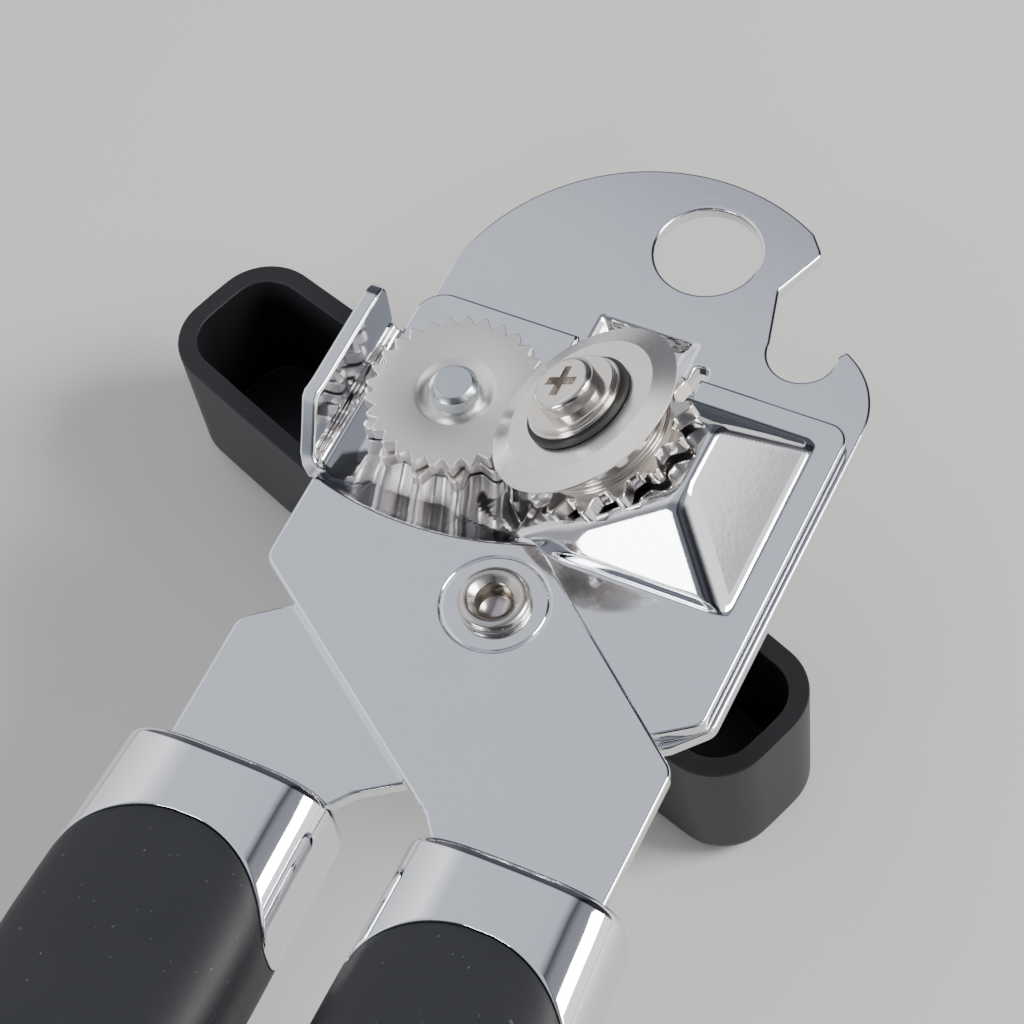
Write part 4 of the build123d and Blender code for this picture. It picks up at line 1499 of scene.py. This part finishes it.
@dataclass
class Handle(SubAssembly):
    """One handle: a mirror-bright collar and a soft grip whose tongue runs up into it."""

    side: int
    word: str
    mid_x: float = 17.1 * MM
    splay: float = math.radians(1.6)
    stations: Sequence[Station] = (
        Station(0.0, 25.4 * MM, 16.8 * MM),
        Station(28 * MM, 27.3 * MM, 16.8 * MM),
        Station(62 * MM, 26.4 * MM, 16.2 * MM),
        Station(92 * MM, 29.0 * MM, 17.4 * MM),
        Station(101.5 * MM, 28.2 * MM, 16.8 * MM),
    )
    end_blend: float = 13 * MM
    end_narrow: float = 0.45
    end_thin: float = 0.55
    squareness: float = 3.4
    arch_half: float = 14.2 * MM
    arch_foot: float = 22 * MM
    arch_crown: float = 8.7 * MM
    wall: float = 1.2 * MM
    rim: float = 1.5 * MM
    seam: float = 0.45 * MM
    around: int = 128
    cap_insets: Sequence[float] = (7 * MM, 4 * MM)
    cap_depth: float = 5 * MM
    edge_steps: int = 6
    collar_shares: Sequence[float] = (0.25, 0.5, 0.75, 0.95)
    collar_lip: Sequence[Plan] = ((0.3, 0.0), (0.12, 0.05), (0.02, 0.2), (0.0, 0.5), (0.0, 1.0))
    grip_tuck: float = 1 * MM
    grip_lip: Sequence[Plan] = ((0.1, 1.1), (0.1, 0.5), (0.3, 0.16), (0.7, 0.03), (1.2, 0.0))
    body_steps: int = 46
    end_steps: int = 12
    end_insets: Sequence[float] = (0.6 * MM, 2 * MM, 3.5 * MM)

    def __post_init__(self) -> None:
        """Reads the handle's place from the frame."""
        low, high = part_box(f"{self.word}_collar")
        self.top_y = high.y
        self.mid_z = (low.z + high.z) / 2
        self.length = high.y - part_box(f"{self.word}_grip")[0].y

    def size_at(self, down: float) -> tuple[float, float]:
        """Half width and half thickness.

        Args:
            down: Distance from the top of the handle.

        Returns:
            Half width and half thickness in metres.
        """
        points = self.stations
        index = max(i for i, s in enumerate(points[:-1]) if s.down <= max(down, 0.0))
        here, there = points[index], points[index + 1]
        share = min(max((down - here.down) / (there.down - here.down), 0.0), 1.0)
        wide = here.wide + (there.wide - here.wide) * eased(share)
        thick = here.thick + (there.thick - here.thick) * eased(share)
        left = max(self.length - down, 0.0)
        if left < self.end_blend:
            drop = 1 - math.sqrt(max(1 - (1 - left / self.end_blend) ** 2, 0.0))
            wide *= 1 - self.end_narrow * drop
            thick *= 1 - self.end_thin * drop
        return wide / 2, thick / 2

    def point(self, down: float, turn: float, inset: float) -> Vector:
        """A point on the handle's skin or below it.

        Args:
            down: Distance from the top of the handle.
            turn: Angle round the section.
            inset: Depth below the skin.

        Returns:
            The point in the shared frame.
        """
        half_wide, half_thick = self.size_at(down)
        power = 2 / self.squareness
        cosine, sine = math.cos(turn), math.sin(turn)
        x = math.copysign(abs(cosine) ** power, cosine) * (half_wide - inset)
        z = math.copysign(abs(sine) ** power, sine) * (half_thick - inset)
        middle = self.side * (self.mid_x + down * math.tan(self.splay))
        return Vector((middle + x, self.top_y - down, self.mid_z + z))

    def seam_down(self, turn: float) -> float:
        """Distance down to the arched seam between collar and grip.

        Args:
            turn: Angle round the section.

        Returns:
            The distance in metres.
        """
        down = self.arch_foot
        for _ in range(4):
            across = self.point(down, turn, 0.0).x
            across -= self.side * (self.mid_x + down * math.tan(self.splay))
            share = min(abs(across) / self.arch_half, 1.0)
            down = self.arch_foot - (self.arch_foot - self.arch_crown) * math.sqrt(1 - share**2)
        return down

    def ring(self, where: Callable[[float], tuple[float, float]]) -> list[Vector]:
        """A ring of points.

        Args:
            where: Gives distance down and inset for the seam's distance at each angle.

        Returns:
            The ring's points.
        """
        points = []
        for index in range(self.around):
            turn = 2 * math.pi * (index + 0.5) / self.around
            down, inset = where(self.seam_down(turn))
            points.append(self.point(down, turn, inset))
        return points

    def collar_rings(self) -> list[list[Vector]]:
        """Rings of the collar, from the middle of its cap round its edge and back inside."""
        rings = [self.ring(lambda seam: (0.0, inset)) for inset in (*self.cap_insets, self.rim)]
        for step in range(1, self.edge_steps + 1):
            turn = math.radians(90 * step / self.edge_steps)
            down, inset = self.rim * (1 - math.cos(turn)), self.rim * (1 - math.sin(turn))
            rings.append(self.ring(lambda seam, d=down, i=inset: (d, i)))
        for share in self.collar_shares:
            rings.append(self.ring(lambda seam, s=share: (self.rim + (seam - self.rim) * s, 0.0)))
        for up, inset in self.collar_lip:
            gap, depth = up * self.seam, inset * self.wall
            rings.append(self.ring(lambda seam, g=gap, i=depth: (seam - g, i)))
        rings.append(self.ring(lambda seam: (2 * self.wall, self.wall)))
        rings.append(self.ring(lambda seam: (self.wall, self.cap_depth)))
        return rings

    def grip_rings(self) -> list[list[Vector]]:
        """Rings of the grip, from inside the seam down to its rounded end."""
        rings = [self.ring(lambda seam: (seam - self.grip_tuck, 3 * self.wall))]
        for down, inset in self.grip_lip:
            drop, depth = down * self.seam, inset * self.wall
            rings.append(self.ring(lambda seam, d=drop, i=depth: (seam + d, i)))
        body = self.length - self.end_blend
        for step in range(1, self.body_steps + 1):
            share = step / self.body_steps
            rings.append(
                self.ring(lambda seam, s=share: (seam + self.seam + (body - seam - self.seam) * s, 0.0))
            )
        for step in range(1, self.end_steps + 1):
            turn = math.radians(90 * step / self.end_steps)
            down = body + self.end_blend * math.sin(turn)
            rings.append(self.ring(lambda seam, d=down: (d, 0.0)))
        for inset in self.end_insets:
            rings.append(self.ring(lambda seam, i=inset: (self.length, i)))
        return rings

    def build(self) -> None:
        """Builds collar and grip."""
        for part, rings in (("collar", self.collar_rings()), ("grip", self.grip_rings())):
            node = f"{self.word}_{part}"
            self.stand_for(skin(f"dressed_{node}", rings), node)


# ---------------------------------------------------------------- studio
SIDE_LIGHT: Sequence[tuple[float, Colour]] = (
    (-1.0, (0.90, 0.92, 0.95)),
    (-0.56, (1.5, 1.5, 1.5)),
    (-0.42, (0.76, 0.79, 0.88)),
    (0.05, (0.68, 0.71, 0.79)),
    (0.18, (0.10, 0.10, 0.12)),
    (0.30, (0.30, 0.31, 0.34)),
    (0.62, (0.36, 0.37, 0.40)),
    (0.72, (1.5, 1.5, 1.5)),
    (1.0, (1.6, 1.59, 1.56)),
)
BACK_LIGHT: Sequence[tuple[float, Colour]] = (
    (-1.0, (0.30, 0.30, 0.31)),
    (-0.70, (0.30, 0.30, 0.31)),
    (-0.45, (1.0, 1.0, 1.0)),
    (0.52, (1.0, 1.0, 1.0)),
    (0.62, (0.10, 0.10, 0.11)),
    (1.0, (0.16, 0.16, 0.17)),
)
CARD_SHADE: Sequence[tuple[float, Colour]] = (
    (0.0, (1.0, 1.0, 1.0)),
    (0.88, (1.0, 1.0, 1.0)),
    (0.95, (0.06, 0.06, 0.07)),
    (1.0, (0.04, 0.04, 0.05)),
)


@dataclass(frozen=True)
class Lamp:
    """One soft square light that faces the head of the opener."""

    name: str
    place: Vector
    size: float
    power: float
    colour: Colour

    def hang(self) -> None:
        """Adds the light to the scene."""
        light = bpy.data.lights.new(self.name, "AREA")
        light.size, light.energy, light.color = self.size, self.power, self.colour
        lamp = bpy.data.objects.new(self.name, light)
        bpy.context.scene.collection.objects.link(lamp)
        lamp.location = self.place
        lamp.rotation_euler = (-self.place).to_track_quat("-Z", "Y").to_euler()


LAMPS = (
    Lamp("key", Vector((0.62, 0.22, 0.50)), 0.35, 8.0, (1.0, 0.98, 0.95)),
    Lamp("fill", Vector((-0.30, -0.92, 0.17)), 0.36, 5.0, (0.97, 0.98, 1.0)),
)


@dataclass
class Studio:
    """Floor, light dome, soft lights and the camera."""

    lens: float = 116.0
    eye: Vector = field(default_factory=lambda: Vector((113.03, -209.91, 313.07)) * MM)
    right: Vector = field(default_factory=lambda: Vector((0.8944, 0.4346, -0.1058)))
    down: Vector = field(default_factory=lambda: Vector((0.3158, -0.781, -0.5388)))
    floor_half: float = 1.6
    dome_strength: float = 0.95
    card: Colour = (0.75, -0.615, 0.24)
    sensor: float = 36.0
    clip_start: float = 0.01
    floor_gap: float = 0.05 * MM

    def floor(self, level: float) -> None:
        """Lays a pale floor.

        Args:
            level: Its height.
        """
        work = bmesh.new()
        bmesh.ops.create_grid(work, x_segments=8, y_segments=8, size=self.floor_half)
        mesh = bpy.data.meshes.new("studio_floor")
        work.to_mesh(mesh)
        work.free()
        mesh.transform(Matrix.Translation((0.0, 0.0, level)))
        floor = new_object("studio_floor", mesh)
        recipe = Recipe("pale_floor")
        cloud = recipe.noise(60 * MM, 3.0)
        recipe.surface(
            Base_Color=recipe.blend(cloud, (0.74, 0.73, 0.71), (0.70, 0.69, 0.67)),
            Roughness=0.75,
        )
        mesh.materials.append(recipe.material)

    def dome(self) -> None:
        """Lights everything from a soft dome with dark strips beside, behind and in front."""
        world = bpy.data.worlds.new("soft_dome")
        bpy.context.scene.world = world
        world.use_nodes = True
        bench = NodeBench(world.node_tree)
        way = bench.node("ShaderNodeTexCoord", output="Generated")
        light = bench.ramp(bench.node("ShaderNodeSeparateXYZ", {}, {0: way}, "X"), SIDE_LIGHT)
        back = bench.ramp(bench.node("ShaderNodeSeparateXYZ", {}, {0: way}, "Y"), BACK_LIGHT)
        card = bench.ramp(bench.vector_math("DOT_PRODUCT", way, self.card, "Value"), CARD_SHADE)
        for shade in (back, card):
            light = bench.blend(1.0, light, shade, "MULTIPLY")
        background = world.node_tree.nodes["Background"]
        bench.feed(background.inputs["Color"], light)
        bench.feed(background.inputs["Strength"], self.dome_strength)

    def camera(self) -> None:
        """Sets the camera at its viewing angle."""
        data = bpy.data.cameras.new("view")
        data.lens = self.lens
        data.sensor_width = self.sensor
        data.clip_start = self.clip_start
        camera = bpy.data.objects.new("view", data)
        bpy.context.scene.collection.objects.link(camera)
        across = self.right.normalized()
        up = (-self.down - across * across.dot(-self.down)).normalized()
        camera.matrix_world = seat_matrix(self.eye, across.cross(up), across)
        bpy.context.scene.camera = camera

    def set_up(self) -> None:
        """Builds the whole studio."""
        self.floor(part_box("knob")[0].z - self.floor_gap)
        self.dome()
        for lamp in LAMPS:
            lamp.hang()
        self.camera()


# ---------------------------------------------------------------- putting it together
def make_finishes() -> dict[str, bpy.types.Material]:
    """Makes one material for each slot of the record.

    Returns:
        Materials by slot name.
    """
    cutter, drive = JOINTS["cutter_turn"], Vector(JOINTS["knob_turn"]["pos_m"])
    turned = {"centre": Vector(cutter["pos_m"]), "axis": Vector(cutter["axis"])}
    chrome = ((0.86, 0.87, 0.90), (0.80, 0.81, 0.85))
    makers = {
        "plate_chrome": MetalFinish(
            "chrome_plate", *chrome, 0.05, 0.06, 0.9 * MM, 0.004 * MM
        ),
        "collar_chrome": MetalFinish(
            "mirror_chrome", *chrome, 0.03, 0.03, 2.5 * MM, 0.003 * MM
        ),
        "rivet_nickel": MetalFinish(
            "dark_nickel", (0.62, 0.59, 0.56), (0.50, 0.47, 0.44),
            0.16, 0.12, 0.5 * MM, 0.006 * MM, Marks.SATIN,
        ),
        "wheel_nickel": MetalFinish(
            "satin_nickel", (0.96, 0.91, 0.88), (0.88, 0.83, 0.80),
            0.30, 0.14, 0.16 * MM, 0.008 * MM, Marks.SATIN,
        ),
        "cutter_nickel": MetalFinish(
            "bright_nickel", (0.84, 0.80, 0.76), (0.76, 0.71, 0.66),
            0.12, 0.10, 0.3 * MM, 0.004 * MM, Marks.TURNED, **turned,
        ),
        "disc_steel": MetalFinish(
            "ground_steel", (0.90, 0.90, 0.89), (0.84, 0.84, 0.84),
            0.20, 0.10, 0.2 * MM, 0.004 * MM, Marks.TURNED, **turned,
        ),
        "zinc_steel": MetalFinish(
            "blue_zinc", (0.76, 0.81, 0.84), (0.62, 0.68, 0.72),
            0.18, 0.14, 0.4 * MM, 0.005 * MM, Marks.TURNED, drive,
        ),
        # Black spacer under the cutter screw's washers: painted shade, a dark part set where the shade under the
        # washers falls
        "dark_fibre": MouldedFinish(
            "shade_black_spacer", (0.012, 0.012, 0.013), (0.05, 0.05, 0.05),
            0.45, 0.2 * MM, 0.01 * MM, 0.0,
        ),
        "knob_plastic": MouldedFinish(
            "black_moulding", (0.006, 0.0065, 0.008), (0.022, 0.023, 0.026),
            0.42, 0.18 * MM, 0.012 * MM, 0.1,
        ),
        "grip_rubber": MouldedFinish(
            "soft_black_grip", (0.010, 0.011, 0.014), (0.026, 0.028, 0.032),
            0.5, 0.16 * MM, 0.02 * MM, 0.35,
        ),
        "core_plastic": MouldedFinish(
            "core_moulding", (0.05, 0.05, 0.055), (0.09, 0.09, 0.095),
            0.5, 0.3 * MM, 0.01 * MM, 0.0,
        ),
    }
    return {slot: finish.make() for slot, finish in makers.items()}


def paint_frame(finishes: dict[str, bpy.types.Material]) -> None:
    """Gives every frame node the finish of its slot.

    Args:
        finishes: Materials by slot name.
    """
    for node, thing in frame["nodes"].items():
        thing.data.materials.clear()
        thing.data.materials.append(finishes[SLOTS[node]])


def main() -> None:
    """Builds and dresses every sub-assembly, then the studio."""
    logging.basicConfig(level=logging.INFO, format="%(name)s %(message)s")
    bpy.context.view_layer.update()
    finishes = make_finishes()
    paint_frame(finishes)
    handles = (Handle(-1, "left"), Handle(1, "right"))
    for assembly in (HeadPlates(), TurnedParts(), Wheels(finishes), *handles):
        assembly.build()
        assembly.dress(finishes)
        log.info("%s done", type(assembly).__name__)
    Studio().set_up()
    bpy.context.view_layer.update()


if __name__ == "__main__":
    main()
